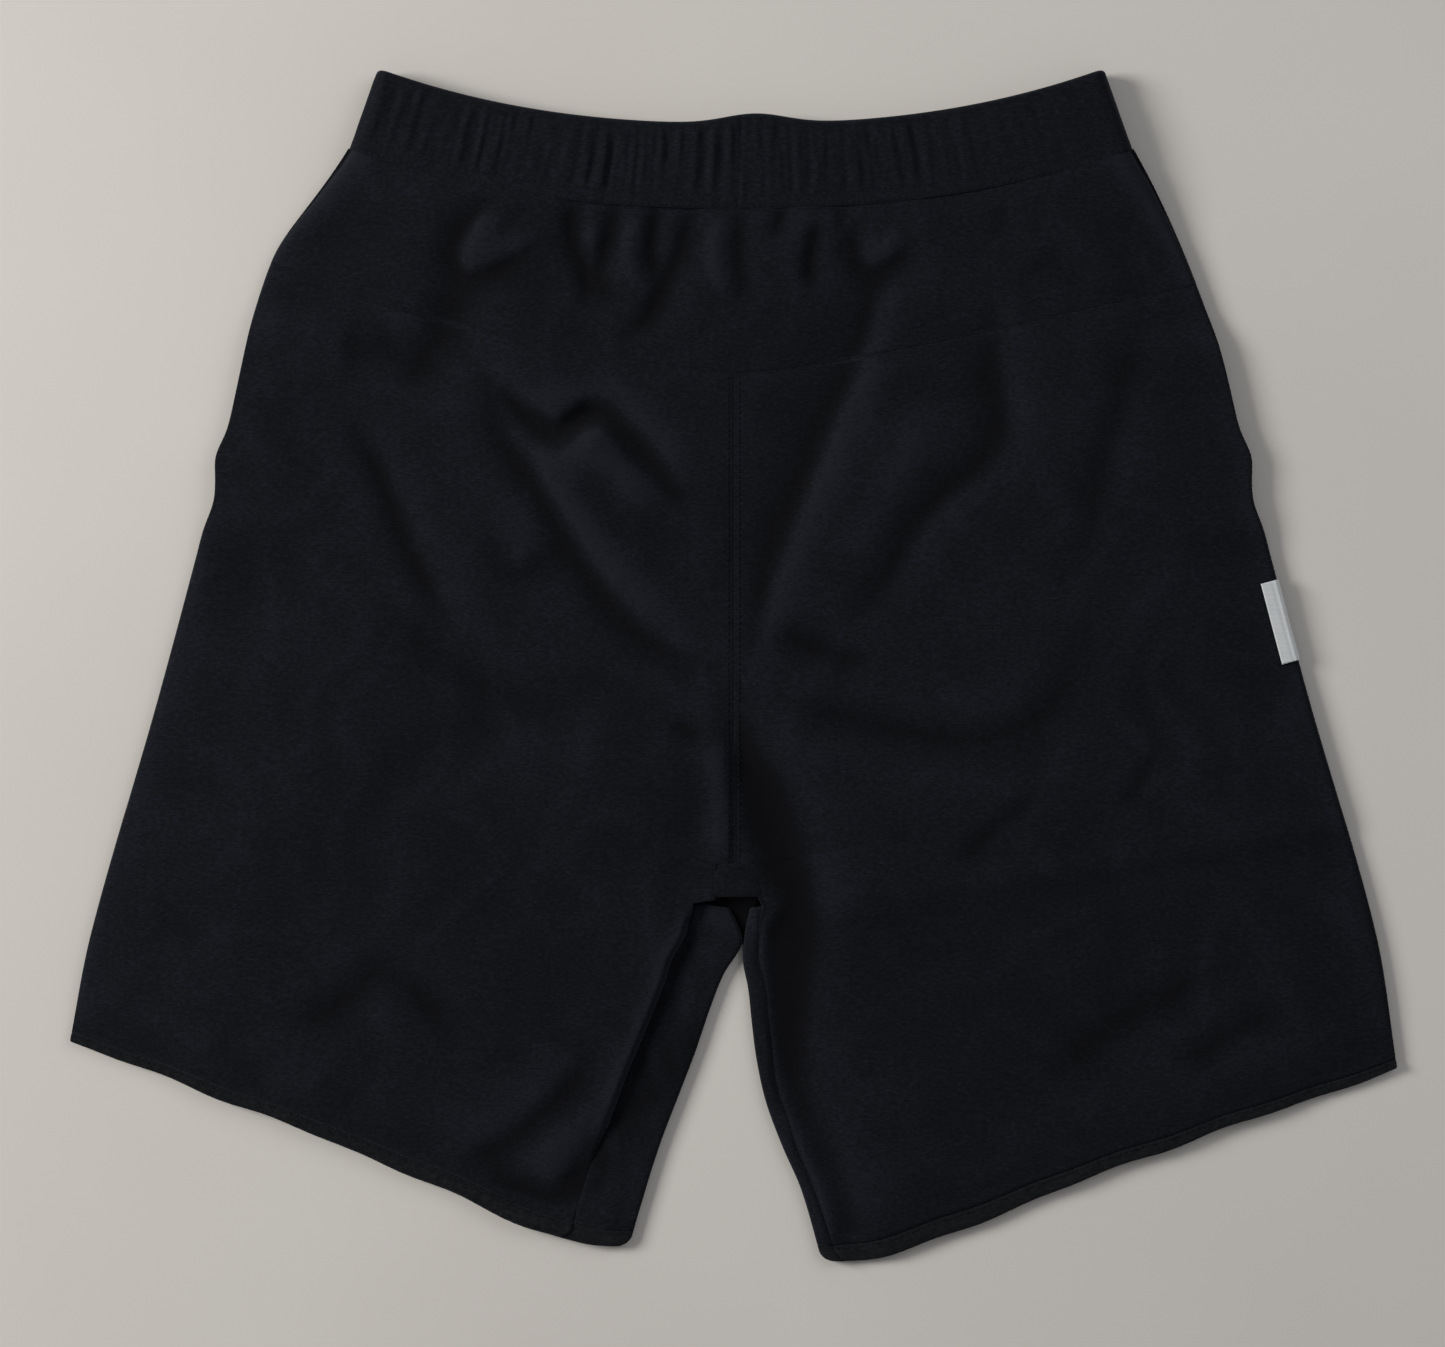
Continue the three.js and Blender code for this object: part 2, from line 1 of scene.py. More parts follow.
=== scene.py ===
# %% [markdown]
# # Knit boxing shorts, laid flat on a cloth
# These shorts are cut from one black brushed jersey: a gathered waistband over an elastic, a back
# yoke, two back panels, two front panels that wrap over the inner legs, a crotch gusset and bound
# hems. The lesson builds them as a maker would, piece by piece, and lays them back side up.
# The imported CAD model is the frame, and every place below is measured from it.

# %% The frame and the tools
import json
import math

import bpy
import numpy as np
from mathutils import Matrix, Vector


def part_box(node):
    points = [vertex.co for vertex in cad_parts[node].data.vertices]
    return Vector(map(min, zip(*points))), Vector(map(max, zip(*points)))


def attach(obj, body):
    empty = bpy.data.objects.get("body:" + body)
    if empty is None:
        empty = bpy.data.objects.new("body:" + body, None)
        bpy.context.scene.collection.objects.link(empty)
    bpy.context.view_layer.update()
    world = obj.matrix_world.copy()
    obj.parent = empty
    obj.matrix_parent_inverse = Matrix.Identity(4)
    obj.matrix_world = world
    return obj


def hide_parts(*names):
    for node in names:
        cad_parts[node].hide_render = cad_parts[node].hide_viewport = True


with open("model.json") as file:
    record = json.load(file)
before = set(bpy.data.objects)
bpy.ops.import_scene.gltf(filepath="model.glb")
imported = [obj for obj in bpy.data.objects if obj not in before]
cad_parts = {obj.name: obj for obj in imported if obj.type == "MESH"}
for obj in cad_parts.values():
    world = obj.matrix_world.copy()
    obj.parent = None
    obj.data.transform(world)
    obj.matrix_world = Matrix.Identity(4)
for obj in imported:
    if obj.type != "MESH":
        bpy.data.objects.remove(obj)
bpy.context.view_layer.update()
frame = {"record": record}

# %% [markdown]
# ## The camera and the light
# The shorts are seen from straight above. A long lens a good way up keeps the hems and the waist
# at one scale. The light is one big soft window up on the left, with a weak fill from the right, so
# that every fold shows a lit side and a shaded side on cloth that is nearly black.

# %% Camera, lights and colour handling
scene = bpy.context.scene
scene.view_settings.view_transform = "Standard"

VIEW_WIDTH = 0.6936  # metres of table seen from left to right
VIEW_CENTRE = (-0.0053, -0.0034)
CAMERA_HEIGHT = 1.75


def add_camera():
    lens = bpy.data.cameras.new("camera")
    lens.sensor_width = 36
    lens.lens = 36 * (CAMERA_HEIGHT - 0.008) / VIEW_WIDTH
    camera = bpy.data.objects.new("camera", lens)
    camera.location = (*VIEW_CENTRE, CAMERA_HEIGHT)
    scene.collection.objects.link(camera)
    scene.camera = camera


def add_area_light(name, place, size, watts, colour):
    """A soft window that faces the middle of the shorts."""
    lamp = bpy.data.lights.new(name, "AREA")
    lamp.shape = "RECTANGLE"
    lamp.size, lamp.size_y = size
    lamp.energy = watts
    lamp.color = colour
    made = bpy.data.objects.new(name, lamp)
    made.location = place
    made.rotation_mode = "QUATERNION"
    made.rotation_quaternion = (-Vector(place)).to_track_quat("-Z", "Y")
    scene.collection.objects.link(made)


add_camera()
add_area_light("window_light", (-2.3, 0.55, 1.35), (1.0, 1.0), 84, (1.0, 0.98, 0.955))
add_area_light("fill_light", (1.5, 1.1, 1.6), (1.6, 1.6), 15, (0.97, 0.98, 1.0))
world = bpy.data.worlds.new("soft_room")
scene.world = world
world.use_nodes = True
world.node_tree.nodes["Background"].inputs["Color"].default_value = (0.92, 0.95, 1.0, 1)
world.node_tree.nodes["Background"].inputs["Strength"].default_value = 0.26
print("camera", tuple(round(c, 3) for c in scene.camera.location))

# %% [markdown]
# ## The pattern's sizes
# A pattern cutter writes the garment down as a few half widths and drops below the waist. They are
# the same sizes as the solids have, so that each visible piece lies where its solid lies. Lengths
# here are millimetres, and only the finished meshes are turned to metres.

# %% Sizes
CROTCH_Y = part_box("crotch_gusset")[0][1] * 1000
CROTCH_DROP = 396.5
TOP_Y = CROTCH_Y + CROTCH_DROP
FABRIC = 1.2
CLEARANCE = 0.3
LOFT = 10.6
WAIST_LOFT = 14.2
WAIST_HALF, BAND_HALF = 174.7, 188.5
BAND_HEIGHT = 41.0
WAIST_SAG, SAG_POWER, FRONT_DIP = 24.0, 2.4, 15.0
YOKE_HALF, YOKE_DROP, YOKE_CENTRE, YOKE_POWER = 223.0, 96.0, 143.5, 1.4
GUSSET_HALF, GUSSET_TIP, GUSSET_LENGTH = 12.0, 9.0, 17.0
CROTCH_RISE, WRAP_START = 45.0, 4.0
SIDE_SEAM = [(186, 246.7), (298, 276.5), (412, 309)]  # (drop, half width) below the yoke
HEM_HALF, HEM_BOW, BINDING_HEIGHT = 319.5, 7.0, 7.0
MOUTH_DROP, MOUTH_LENGTH = 104.0, 128.0
MOUTH_TOP = TOP_Y - MOUTH_DROP
MOUTH_END = MOUTH_TOP - MOUTH_LENGTH
BAND_TILT = math.asin((BAND_HALF - WAIST_HALF) / BAND_HEIGHT)
BAND_Y = TOP_Y - (BAND_HEIGHT + CLEARANCE) * math.cos(BAND_TILT)


# %% Plain arithmetic for smooth curves
def smooth(t):
    t = np.clip(t, 0, 1)
    return t * t * (3 - 2 * t)


def lerp(a, b, t):
    return a + (b - a) * t


def through(pairs):
    """A smooth function through (at, value) pairs."""
    at, value = (np.array(column, float) for column in zip(*pairs))
    slope = np.empty_like(value)
    slope[1:-1] = (value[2:] - value[:-2]) / (at[2:] - at[:-2])
    slope[0] = (value[1] - value[0]) / (at[1] - at[0])
    slope[-1] = (value[-1] - value[-2]) / (at[-1] - at[-2])

    def curve(x):
        x = np.asarray(x, float)
        k = np.clip(np.searchsorted(at, x, "right") - 1, 0, len(at) - 2)
        step = at[k + 1] - at[k]
        t = (x - at[k]) / step
        pull = (t**3 - 2 * t**2 + t) * step * slope[k] + (t**3 - t**2) * step * slope[k + 1]
        return (2 * t**3 - 3 * t**2 + 1) * value[k] + (3 * t**2 - 2 * t**3) * value[k + 1] + pull

    return curve


def ripple(x, y, wavelength, seed, stretch=(1.0, 1.0)):
    """A gentle random field of height about 1: waves of one length in many directions."""
    rng = np.random.default_rng(seed)
    total = np.zeros(np.broadcast(x, y).shape)
    for _ in range(14):
        angle, phase = rng.uniform(0, 2 * math.pi, 2)
        size = wavelength * rng.uniform(0.7, 1.5)
        wave = (x / stretch[0] * math.cos(angle) + y / stretch[1] * math.sin(angle)) / size
        total += np.sin(2 * math.pi * wave + phase)
    return total / math.sqrt(14)


# %% [markdown]
# ## How the shorts lie
# One leg is one set of rows, from the crotch to the hem, between the side seam and the inner edge.
# Every layer of the leg takes its plan from the same rows, so the layers stay over each other.

# %% The two legs in plan
class Leg:
    """One leg of the shorts, with its side seam and its inner edge in plan. A row of the leg is known
    by v, its share of the way from the crotch to the hem."""

    def __init__(self, side, corner, tip, inner, wrap):
        self.side, self.corner, self.tip = side, corner, tip
        self.inner_x = through(inner)
        self.wrap = through(wrap)
        self.half = through([
            (TOP_Y - BAND_Y, BAND_HALF),
            (YOKE_DROP, YOKE_HALF),
            *SIDE_SEAM,
            (CROTCH_DROP + corner, HEM_HALF),
        ])

    def half_at(self, y):
        """The side seam, with the small bulge and dent that an empty pocket's mouth gives it."""
        bulge = 2.6 * np.exp(-(((y - MOUTH_TOP + 79) / 9) ** 2))
        dent = 2.0 * np.exp(-(((y - MOUTH_TOP + 102) / 10) ** 2))
        return self.half(TOP_Y - y) + bulge - dent

    def rounding(self, v, radius):
        """How far a hem corner is cut back on the row at v."""
        reach = radius / (self.tip - WRAP_START)
        into = np.clip((v - 1 + reach) / reach, 0, 1)
        return self.side * radius * (1 - np.sqrt(1 - 0.96 * into**2))

    def outer(self, v):
        y = lerp(CROTCH_Y + CROTCH_RISE - WRAP_START, CROTCH_Y - self.corner, v)
        return np.stack([self.side * self.half_at(y) - self.rounding(v, 2.5), y], -1)

    def inner(self, v):
        y = lerp(CROTCH_Y - WRAP_START, CROTCH_Y - self.tip, v)
        return np.stack([self.inner_x(v) + self.rounding(v, 5.0), y], -1)

    def length(self, v):
        return np.linalg.norm(self.outer(v) - self.inner(v), axis=-1)

    def on_row(self, v, off):
        """Plan points on the row at v, `off` away from the inner edge."""
        share = 1 - off / self.length(v)
        bow = HEM_BOW * v**3 * np.sin(math.pi * np.clip(share, 0, 1) ** 4)
        point = lerp(self.outer(v), self.inner(v), share[..., None])
        x = point[..., 0]
        pucker = 0.5 * v**8 * (np.sin(x / 7.3 + 1) + np.sin(x / 12.1))
        return x, point[..., 1] - bow + pucker


LEGS = {
    "left": Leg(
        side=-1, corner=69, tip=167,
        inner=[(0, -2), (0.05, 2.0), (0.106, 4.1), (0.195, -4.6), (0.3, -11.4), (0.43, -18.6),
               (0.54, -25.5), (0.71, -36), (0.9, -45.5), (1, -50)],
        wrap=[(0, 17), (0.1, 27), (0.25, 25), (0.5, 27), (0.75, 27), (1, 29)],
    ),
    "right": Leg(
        side=1, corner=82.5, tip=174,
        inner=[(0, 8), (0.05, 6), (0.106, 4.6), (0.16, 4.7), (0.228, 7.0), (0.332, 8.9),
               (0.434, 11.2), (0.55, 15.6), (0.674, 23.4), (0.8, 32.7), (1, 42.5)],
        wrap=[(0, 6), (0.15, 6), (0.4, 6), (0.7, 5.5), (1, 5)],
    ),
}


def drop_across(s, dip=0.0):
    across = np.minimum(1, np.abs(2 * s - 1))
    return (WAIST_SAG + dip) * (1 - across**SAG_POWER)


def yoke_seam(x):
    share = 1 - np.minimum(1, np.abs(x) / YOKE_HALF) ** YOKE_POWER
    return TOP_Y - lerp(YOKE_DROP, YOKE_CENTRE, share)


def lie(x, y):
    """Small moves in plan: no garment lies quite even."""
    band = smooth((y - 190) / 60)
    hump = 4.6 * np.exp(-(((x - 7) / 21) ** 2)) * smooth((y - 235) / 26)
    skew = -5.0 * (x / YOKE_HALF) ** 3 * np.exp(-(((y - 188) / 34) ** 2))
    return x + 3.6 * band, y + hump + skew


print("crotch", round(CROTCH_Y, 1), "waist ends", round(TOP_Y, 1))

# %% [markdown]
# ## Folds
# A fold in laid cloth is a line with a height across it: steep on one side and long on the other.
# A simulation would crease the cloth where it likes. Here each fold has its own place, as if it
# were pinched by hand, and small even wrinkles are added between the folds.

# %% The folds that a stylist would pinch
# (height, width to the left of its run, width to the right, points of its run)
FOLDS = [
    # the pouch under the left of the band, and the valley below it
    (-2.3, 4, 11, [(-117, 226), (-130, 208), (-134, 194), (-128, 186), (-112, 190), (-92, 202)]),
    (1.2, 14, 12, [(-112, 218), (-118, 204), (-108, 198), (-92, 210)]),
    (-2.6, 13, 12, [(-131, 186), (-138, 164), (-150, 145), (-157, 132)]),
    (-1.2, 14, 12, [(-190, 152), (-172, 151), (-158, 157)]),
    # the deep crease across the left seat
    (-4.6, 4, 8, [(-112, 134), (-100, 122), (-84, 114), (-74, 120), (-62, 122), (-50, 112), (-36, 96),
                  (-24, 79)]),
    (-1.6, 4, 5, [(-76, 122), (-68, 124), (-58, 120)]),
    (1.6, 16, 12, [(-84, 100), (-66, 104), (-48, 88), (-36, 72)]),
    (-2.4, 6, 12, [(-121, 142), (-111, 112), (-94, 86), (-78, 58), (-60, 32), (-40, 12), (-14, 0)]),
    (1.8, 14, 22, [(-96, 104), (-76, 74), (-52, 44), (-28, 22)]),
    (-1.5, 5, 8, [(-184, 118), (-168, 90), (-154, 54), (-134, 16)]),
    (-1.3, 16, 16, [(-168, 34), (-140, 4), (-108, -14), (-80, -16), (-62, 4)]),
    (-1.0, 22, 20, [(-100, -18), (-140, -34), (-172, -56), (-192, -78)]),
    (-0.9, 7, 10, [(-120, 62), (-104, 44), (-88, 52), (-78, 60)]),
    # the long valley beside the centre seam, on the right
    (-3.9, 5, 24, [(71, 196), (66, 176), (58, 150), (42, 112), (26, 72), (15, 40), (8, 6)]),
    (1.0, 20, 16, [(96, 132), (82, 96), (64, 64), (46, 38)]),
    (-2.2, 4, 9, [(57, 212), (59, 196), (66, 188), (76, 192), (86, 205)]),
    (0.6, 10, 8, [(74, 210), (76, 198), (84, 206)]),
    (-0.5, 5, 6, [(126, 222), (128, 204)]),
    (-0.7, 8, 12, [(146, 202), (158, 190), (172, 184)]),
    (-2.1, 6, 16, [(124, 176), (124, 146), (128, 116), (120, 98), (100, 82), (84, 62), (72, 40),
                   (58, 24)]),
    (-1.3, 11, 13, [(194, 170), (186, 132), (176, 96), (170, 54)]),
    (-1.6, 11, 14, [(16, -14), (52, -24), (96, -34), (132, -32), (156, -14), (168, 20)]),
    (-1.2, 8, 12, [(18, 20), (42, 8), (68, 0)]),
    # from the centre seam down the right inner leg
    (-3.8, 8, 13, [(3, -8), (7, -44), (17, -64), (25, -88), (31, -120), (28, -158), (27, -200)]),
    (1.8, 12, 10, [(-6, -30), (-6, -70), (-4, -100)]),
    # the lower legs
    (-1.6, 12, 12, [(-218, -172), (-192, -164), (-168, -148), (-146, -164), (-132, -186)]),
    (-0.6, 12, 14, [(-282, -122), (-264, -124), (-252, -134)]),
    (-0.6, 12, 12, [(-250, -176), (-236, -190), (-224, -204)]),
    (-0.6, 12, 12, [(-198, -196), (-188, -206), (-180, -214)]),
    (-1.8, 6, 12, [(-130, -240), (-104, -226), (-80, -204), (-66, -184)]),
    (-3.4, 5, 9, [(-50, -212), (-62, -232), (-73, -249), (-86, -257), (-102, -252), (-116, -244)]),
    (-1.3, 10, 12, [(152, -200), (176, -178), (214, -156), (232, -146)]),
    (-1.2, 10, 12, [(214, -196), (240, -176), (268, -164)]),
    (-0.8, 5, 6, [(108, -94), (130, -74), (148, -60)]),
    (-0.7, 4, 5, [(188, -68), (204, -38)]),
    (-0.8, 4, 5, [(-30, -26), (-14, -36)]),
    # gathers that run down from the waistband
    (-1.7, 5, 6, [(-79, 226), (-77, 206), (-70, 186), (-72, 172)]),
    (-1.7, 5, 7, [(-57, 222), (-60, 204), (-64, 186), (-56, 174)]),
    (-1.5, 4, 5, [(-38, 222), (-39, 200), (-36, 184)]),
    (-1.9, 6, 6, [(-22, 222), (-24, 202), (-30, 188), (-40, 168), (-52, 158)]),
    (-0.9, 4, 5, [(3, 220), (3, 196), (7, 172)]),
    (-1.0, 4, 4, [(22, 221), (20, 204)]),
    (-1.5, 4, 4, [(40, 214), (37, 194), (38, 180)]),
    (-0.6, 3, 4, [(50, 222), (52, 206)]),
    (0.8, 6, 6, [(-68, 214), (-68, 196), (-62, 180)]),
    (0.9, 6, 6, [(-48, 216), (-50, 196), (-46, 180)]),
    (1.0, 6, 6, [(-8, 216), (-9, 192), (-2, 176)]),
]


FOLD_GAIN = 1.9  # how hard the folds are pinched
FOLD_SHARP = 1.45  # 2 is a round valley, 1 a knife's crease
FOLD_DEEPEST = -5.6  # the layer below stops a fold that goes deeper


def smooth_run(points, n=28):
    """The points of a run joined by one smooth line."""
    points = np.array(points, float)
    steps = np.r_[0, np.cumsum(np.linalg.norm(np.diff(points, axis=0), axis=1))]
    at = np.linspace(0, steps[-1], n)
    return np.stack([through(zip(steps, points[:, k]))(at) for k in (0, 1)], -1)


def fold_height(x, y):
    """The sum of every fold at plan points."""
    shape = np.broadcast(x, y).shape
    flat = np.stack([np.broadcast_to(x, shape).ravel(), np.broadcast_to(y, shape).ravel()], -1)
    total = np.zeros(len(flat))
    for height, left, right, points in FOLDS:
        run = smooth_run(points)
        reach = 2.6 * max(left, right)
        near = np.all((flat > run.min(0) - reach) & (flat < run.max(0) + reach), axis=1)
        p = flat[near]
        best = np.full(len(p), np.inf)
        side = np.zeros(len(p))
        along = np.zeros(len(p))
        for k in range(len(run) - 1):
            a, d = run[k], run[k + 1] - run[k]
            t = np.clip((p - a) @ d / (d @ d), 0, 1)
            off = p - a - t[:, None] * d
            gap = np.hypot(*off.T)
            closer = gap < best
            best = np.where(closer, gap, best)
            side = np.where(closer, d[0] * off[:, 1] - d[1] * off[:, 0], side)
            along = np.where(closer, (k + t) / (len(run) - 1), along)
        width = np.where(side > 0, left, right)
        taper = smooth(along / 0.25) * smooth((1 - along) / 0.3)
        ends = smooth((along + 0.03) / 0.06) * smooth((1.03 - along) / 0.06)
        strength = FOLD_GAIN * height * (0.25 + 0.75 * taper) * ends
        total[near] += strength * np.exp(-((best / width) ** FOLD_SHARP))
    total = np.where(total < 0, FOLD_DEEPEST * np.tanh(total / FOLD_DEEPEST), total)
    return total.reshape(shape)


print(len(FOLDS), "folds")

# %% [markdown]
# ## The height of the back layer
# The back panels rise from the side seam in a soft roll, lie a finger's width above the table, and
# rise again to meet the thick waistband. Folds and small ripples are added to that.


# %% Height of the back layer
def mouth_open(y):
    """From 0 past the ends of a pocket's mouth to 1 along it."""
    return smooth((MOUTH_TOP - y) / 26) * smooth((y - MOUTH_END) / 26)


def crumple(x, y):
    """Wrinkles that a garment keeps from the drawer: soft hollows and thin crests between them."""
    bent_x = x + 9 * ripple(x, y, 70, 11)
    bent_y = y + 9 * ripple(x, y, 70, 12)
    crests = 1 - np.abs(ripple(bent_x, bent_y, 52, 3, (0.9, 1.3)))
    fine = 1 - np.abs(ripple(bent_x, bent_y, 21, 5, (1.5, 0.8)))
    return 0.34 * crests + 0.1 * fine + 0.7 * ripple(x, y, 95, 6) - 0.2


SIDE_HEIGHT, MOUTH_LIFT = 3.3, 4.6  # of the side seam, and how far a pocket's mouth lifts it


def back_height(leg, x, y):
    """The top of the back layer at plan points of one leg's half."""
    inside = leg.half_at(y) - leg.side * x
    near_band = 1 - smooth((BAND_Y - y) / 40)
    edge = SIDE_HEIGHT + MOUTH_LIFT * mouth_open(y) + (WAIST_LOFT / 2 - SIDE_HEIGHT) * near_band
    seam = BAND_Y - drop_across(0.5 + x / 2 / BAND_HALF)
    loft = lerp(WAIST_LOFT - 0.1, LOFT - 1.2, smooth((seam - y) / 75))
    slack = 0.5 * np.sqrt(1 - (1 - np.clip(inside / 4, 0, 1)) ** 2) + 0.5 * smooth(inside / 70)
    taut = np.sqrt(1 - (1 - np.clip(inside / 9, 0, 1)) ** 2)  # held round by the band
    base = lerp(edge, loft, lerp(taut, slack, smooth((seam + 4 - y) / 50)))
    folds = fold_height(x, y) + crumple(x, y)
    return base + folds * smooth((inside + 2) / 16)


# %% [markdown]
# ## Cloth as a closed sheet
# Knit is 1.2 mm thick, so each panel is a sheet with two faces and a rim. The outer face is a grid
# of points, and the inner face is the same grid moved in along its normals.


# %% From a grid of points to a closed mesh
def grid_normals(grid):
    across = np.gradient(grid, axis=1)
    down = np.gradient(grid, axis=0)
    normal = np.cross(across, down)
    return normal / np.maximum(np.linalg.norm(normal, axis=-1, keepdims=True), 1e-9)


def finish_mesh(name, points_mm, faces, material, uv=None, painted_shade=None):
    """A mesh object in metres with its faces outwards, linked to the scene."""
    mesh = bpy.data.meshes.new(name)
    mesh.from_pydata((np.asarray(points_mm) / 1000).tolist(), [], faces)
    if uv is not None:
        layer = mesh.uv_layers.new(name="cloth")
        corner = np.empty(len(mesh.loops), np.int64)
        mesh.loops.foreach_get("vertex_index", corner)
        layer.data.foreach_set("uv", (np.asarray(uv)[corner] / 1000).ravel().astype(np.float32))
    mesh.materials.append(material)
    # painted shade and light go on as a point attribute, which the jersey's colour reads
    if painted_shade is not None:
        mesh.attributes.new("painted_shade", "FLOAT", "POINT").data.foreach_set("value", painted_shade.astype(np.float32))
    mesh.polygons.foreach_set("use_smooth", [True] * len(mesh.polygons))
    mesh.update()
    made = bpy.data.objects.new(name, mesh)
    scene.collection.objects.link(made)
    return made


def blurred(values, reach):
    """Values of a grid averaged over `reach` cells to each side, twice."""
    for axis in (0, 1, 0, 1):
        pad = [(reach + 1, reach) if k == axis else (0, 0) for k in (0, 1)]
        total = np.cumsum(np.pad(values, pad, mode="edge"), axis=axis)
        count = values.shape[axis]
        ahead = np.take(total, np.arange(2 * reach + 1, 2 * reach + 1 + count), axis=axis)
        values = (ahead - np.take(total, np.arange(count), axis=axis)) / (2 * reach + 1)
    return values


# Painted shade in patches, darker along the deep valley down the right inner leg and along the creases of
# the lower left leg, and a little darker or lighter over broad areas: (how far up, middle x, middle y,
# reach in x, reach in y)
SHADE_PATCHES = [
    (-0.8, 14, -60, 13, 28), (-1.1, 29, -135, 18, 66), (-0.2, 150, -150, 120, 80),
    (-0.3, -100, 200, 70, 35), (-0.1, -160, -140, 90, 70), (0.12, 110, 70, 70, 60),
    (-0.8, -21, -181, 6, 9), (-0.9, -32, -194, 7, 9), (-0.9, -43, -208, 7, 9), (-0.4, -25, -200, 25, 35),
    (-0.9, -53, -222, 7, 10), (-0.9, -64, -237, 8, 9), (-0.7, -78, -248, 12, 7),
]


# painted shade: the patches summed at plan points
def patch_shade(x, y):
    return sum(up * np.exp(-(((x - a) / u) ** 2) - ((y - b) / v) ** 2) for up, a, b, u, v in SHADE_PATCHES)


def painted_shade_of(grid):
    """Painted shade and light: from -1 in a valley, painted darker, to 1 on a crest, painted lighter, with
    the painted shade patches added.
    """
    height = grid[..., 2]
    relief = (height - blurred(height, 5)) / 1.2
    relief[:3], relief[-3:], relief[:, :3], relief[:, -3:] = 0, 0, 0, 0
    return (np.clip(relief, -1, 1) + patch_shade(grid[..., 0], grid[..., 1])).ravel()


def facing_out(points, faces):
    """The four-cornered faces of a closed mesh, all turned outwards."""
    first = points[faces[:, 0]]
    spans = np.cross(points[faces[:, 1]] - first, points[faces[:, 2]] - first)
    spans += np.cross(points[faces[:, 2]] - first, points[faces[:, 3]] - first)
    return faces if (first * spans).sum() >= 0 else faces[:, ::-1]


def grid_faces(ni, kept, offset=0, turned=False):
    """A face for each kept cell of a grid that is ni points wide."""
    j, i = np.nonzero(kept)
    quad = np.stack([j * ni + i, j * ni + i + 1, (j + 1) * ni + i + 1, (j + 1) * ni + i], -1) + offset
    return quad[:, ::-1] if turned else quad


# Each rim of a grid's cell: the cell beyond it, and the two corners that lie on it.
RIMS = (
    ((-1, 0), (0, 0), (0, 1)),
    ((0, 1), (0, 1), (1, 1)),
    ((1, 0), (1, 1), (1, 0)),
    ((0, -1), (1, 0), (0, 0)),
)


def cloth_sheet(name, outer, material, thick=FABRIC, inner=None, keep=None, painted_shade=None):
    """A closed sheet of cloth from an (nj, ni, 3) grid of its outer face, in millimetres. The inner
    face lies below it, unless `inner` gives it. `keep` tells which cells have cloth."""
    nj, ni, _ = outer.shape
    kept = np.ones((nj - 1, ni - 1), bool) if keep is None else keep
    if inner is None:
        normal = grid_normals(outer)
        if normal[..., 2].mean() <= 0:
            normal = -normal
        inner = outer - normal * thick
    n = nj * ni
    across = np.cumsum(np.linalg.norm(np.diff(outer, axis=1, prepend=outer[:, :1]), axis=-1), axis=1)
    down = np.cumsum(np.linalg.norm(np.diff(outer, axis=0, prepend=outer[:1]), axis=-1), axis=0)
    uv = np.stack([across, down], -1).reshape(-1, 2)
    padded = np.pad(kept, 1)
    walls = []
    for (dj, di), a, b in RIMS:
        j, i = np.nonzero(kept & ~padded[1 + dj : nj + dj, 1 + di : ni + di])
        p, q = (j + a[0]) * ni + i + a[1], (j + b[0]) * ni + i + b[1]
        walls.append(np.stack([q, p, p + n, q + n], -1))
    top = grid_faces(ni, kept)
    bottom = grid_faces(ni, kept, n, turned=True)
    faces = np.concatenate([top, bottom, *walls])
    points = np.concatenate([outer.reshape(-1, 3), inner.reshape(-1, 3)])
    faces = facing_out(points, faces)
    used = np.unique(faces)
    renumber = np.zeros(2 * n, np.int64)
    renumber[used] = np.arange(len(used))
    uv = np.concatenate([uv, uv])
    # painted shade and light for each point: from the outer face's folds, unless given
    painted_shade = np.tile(painted_shade_of(outer) if painted_shade is None else painted_shade.ravel(), 2)
    return finish_mesh(name, points[used], renumber[faces].tolist(), material, uv[used], painted_shade[used])


def place(x, y, z):
    """A grid in the row frame, with the small uneven moves of the lie."""
    x, y = lie(x, y)
    return np.stack(np.broadcast_arrays(x, y, z), -1).astype(float)


# %% [markdown]
# ## Materials
# Brushed jersey is a fine knit whose face has been raised with wire. The eye gets four things from
# it: very fine level rows, a heather of slightly lighter and darker fibres, a dull soft sheen, and
# almost no gloss. The rows of the real cloth are near 0.5 mm apart, too fine to show, so they are
# drawn at 0.9 mm.


# %% Helpers for materials
def linear(hex_colour):
    """An sRGB hex colour as linear numbers."""
    channels = [int(hex_colour[k : k + 2], 16) / 255 for k in (1, 3, 5)]
    return tuple(c / 12.92 if c <= 0.04045 else ((c + 0.055) / 1.055) ** 2.4 for c in channels) + (1.0,)


def node(tree, kind, links=(), stops=(), **settings):
    """Adds a node. `links` feed its inputs from sockets, or from the first output of a node. `stops`
    are a ramp's colours. `settings` are properties, or inputs by name or by number (inputs_1)."""
    made = tree.nodes.new(kind)
    for key, value in settings.items():
        if hasattr(made, key):
            setattr(made, key, value)
        else:
            slot = int(key[7:]) if key.startswith("inputs_") else key.replace("_", " ")
            made.inputs[slot].default_value = value
    for target, source in links:
        tree.links.new(getattr(source, "outputs", [source])[0], made.inputs[target])
    if stops:
        elements = made.color_ramp.elements
        while len(elements) < len(stops):
            elements.new(0.5)
        for element, (at, colour) in zip(elements, stops):
            element.position = at
            element.color = linear(colour)
    return made


def new_material(name, **constants):
    """A material, its tree and the object coordinates that its patterns are drawn on. `constants`
    are what is the same all over the surface."""
    material = bpy.data.materials.new(name)
    material.use_nodes = True
    tree = material.node_tree
    for key, value in constants.items():
        tree.nodes["Principled BSDF"].inputs[key.replace("_", " ")].default_value = value
    return material, tree, node(tree, "ShaderNodeTexCoord").outputs["Object"]


def surface(tree, colour, bump=None):
    """Gives the shader its colour and its relief."""
    shader = tree.nodes["Principled BSDF"]
    tree.links.new(colour.outputs["Color"], shader.inputs["Base Color"])
    if bump is not None:
        tree.links.new(bump.outputs["Normal"], shader.inputs["Normal"])


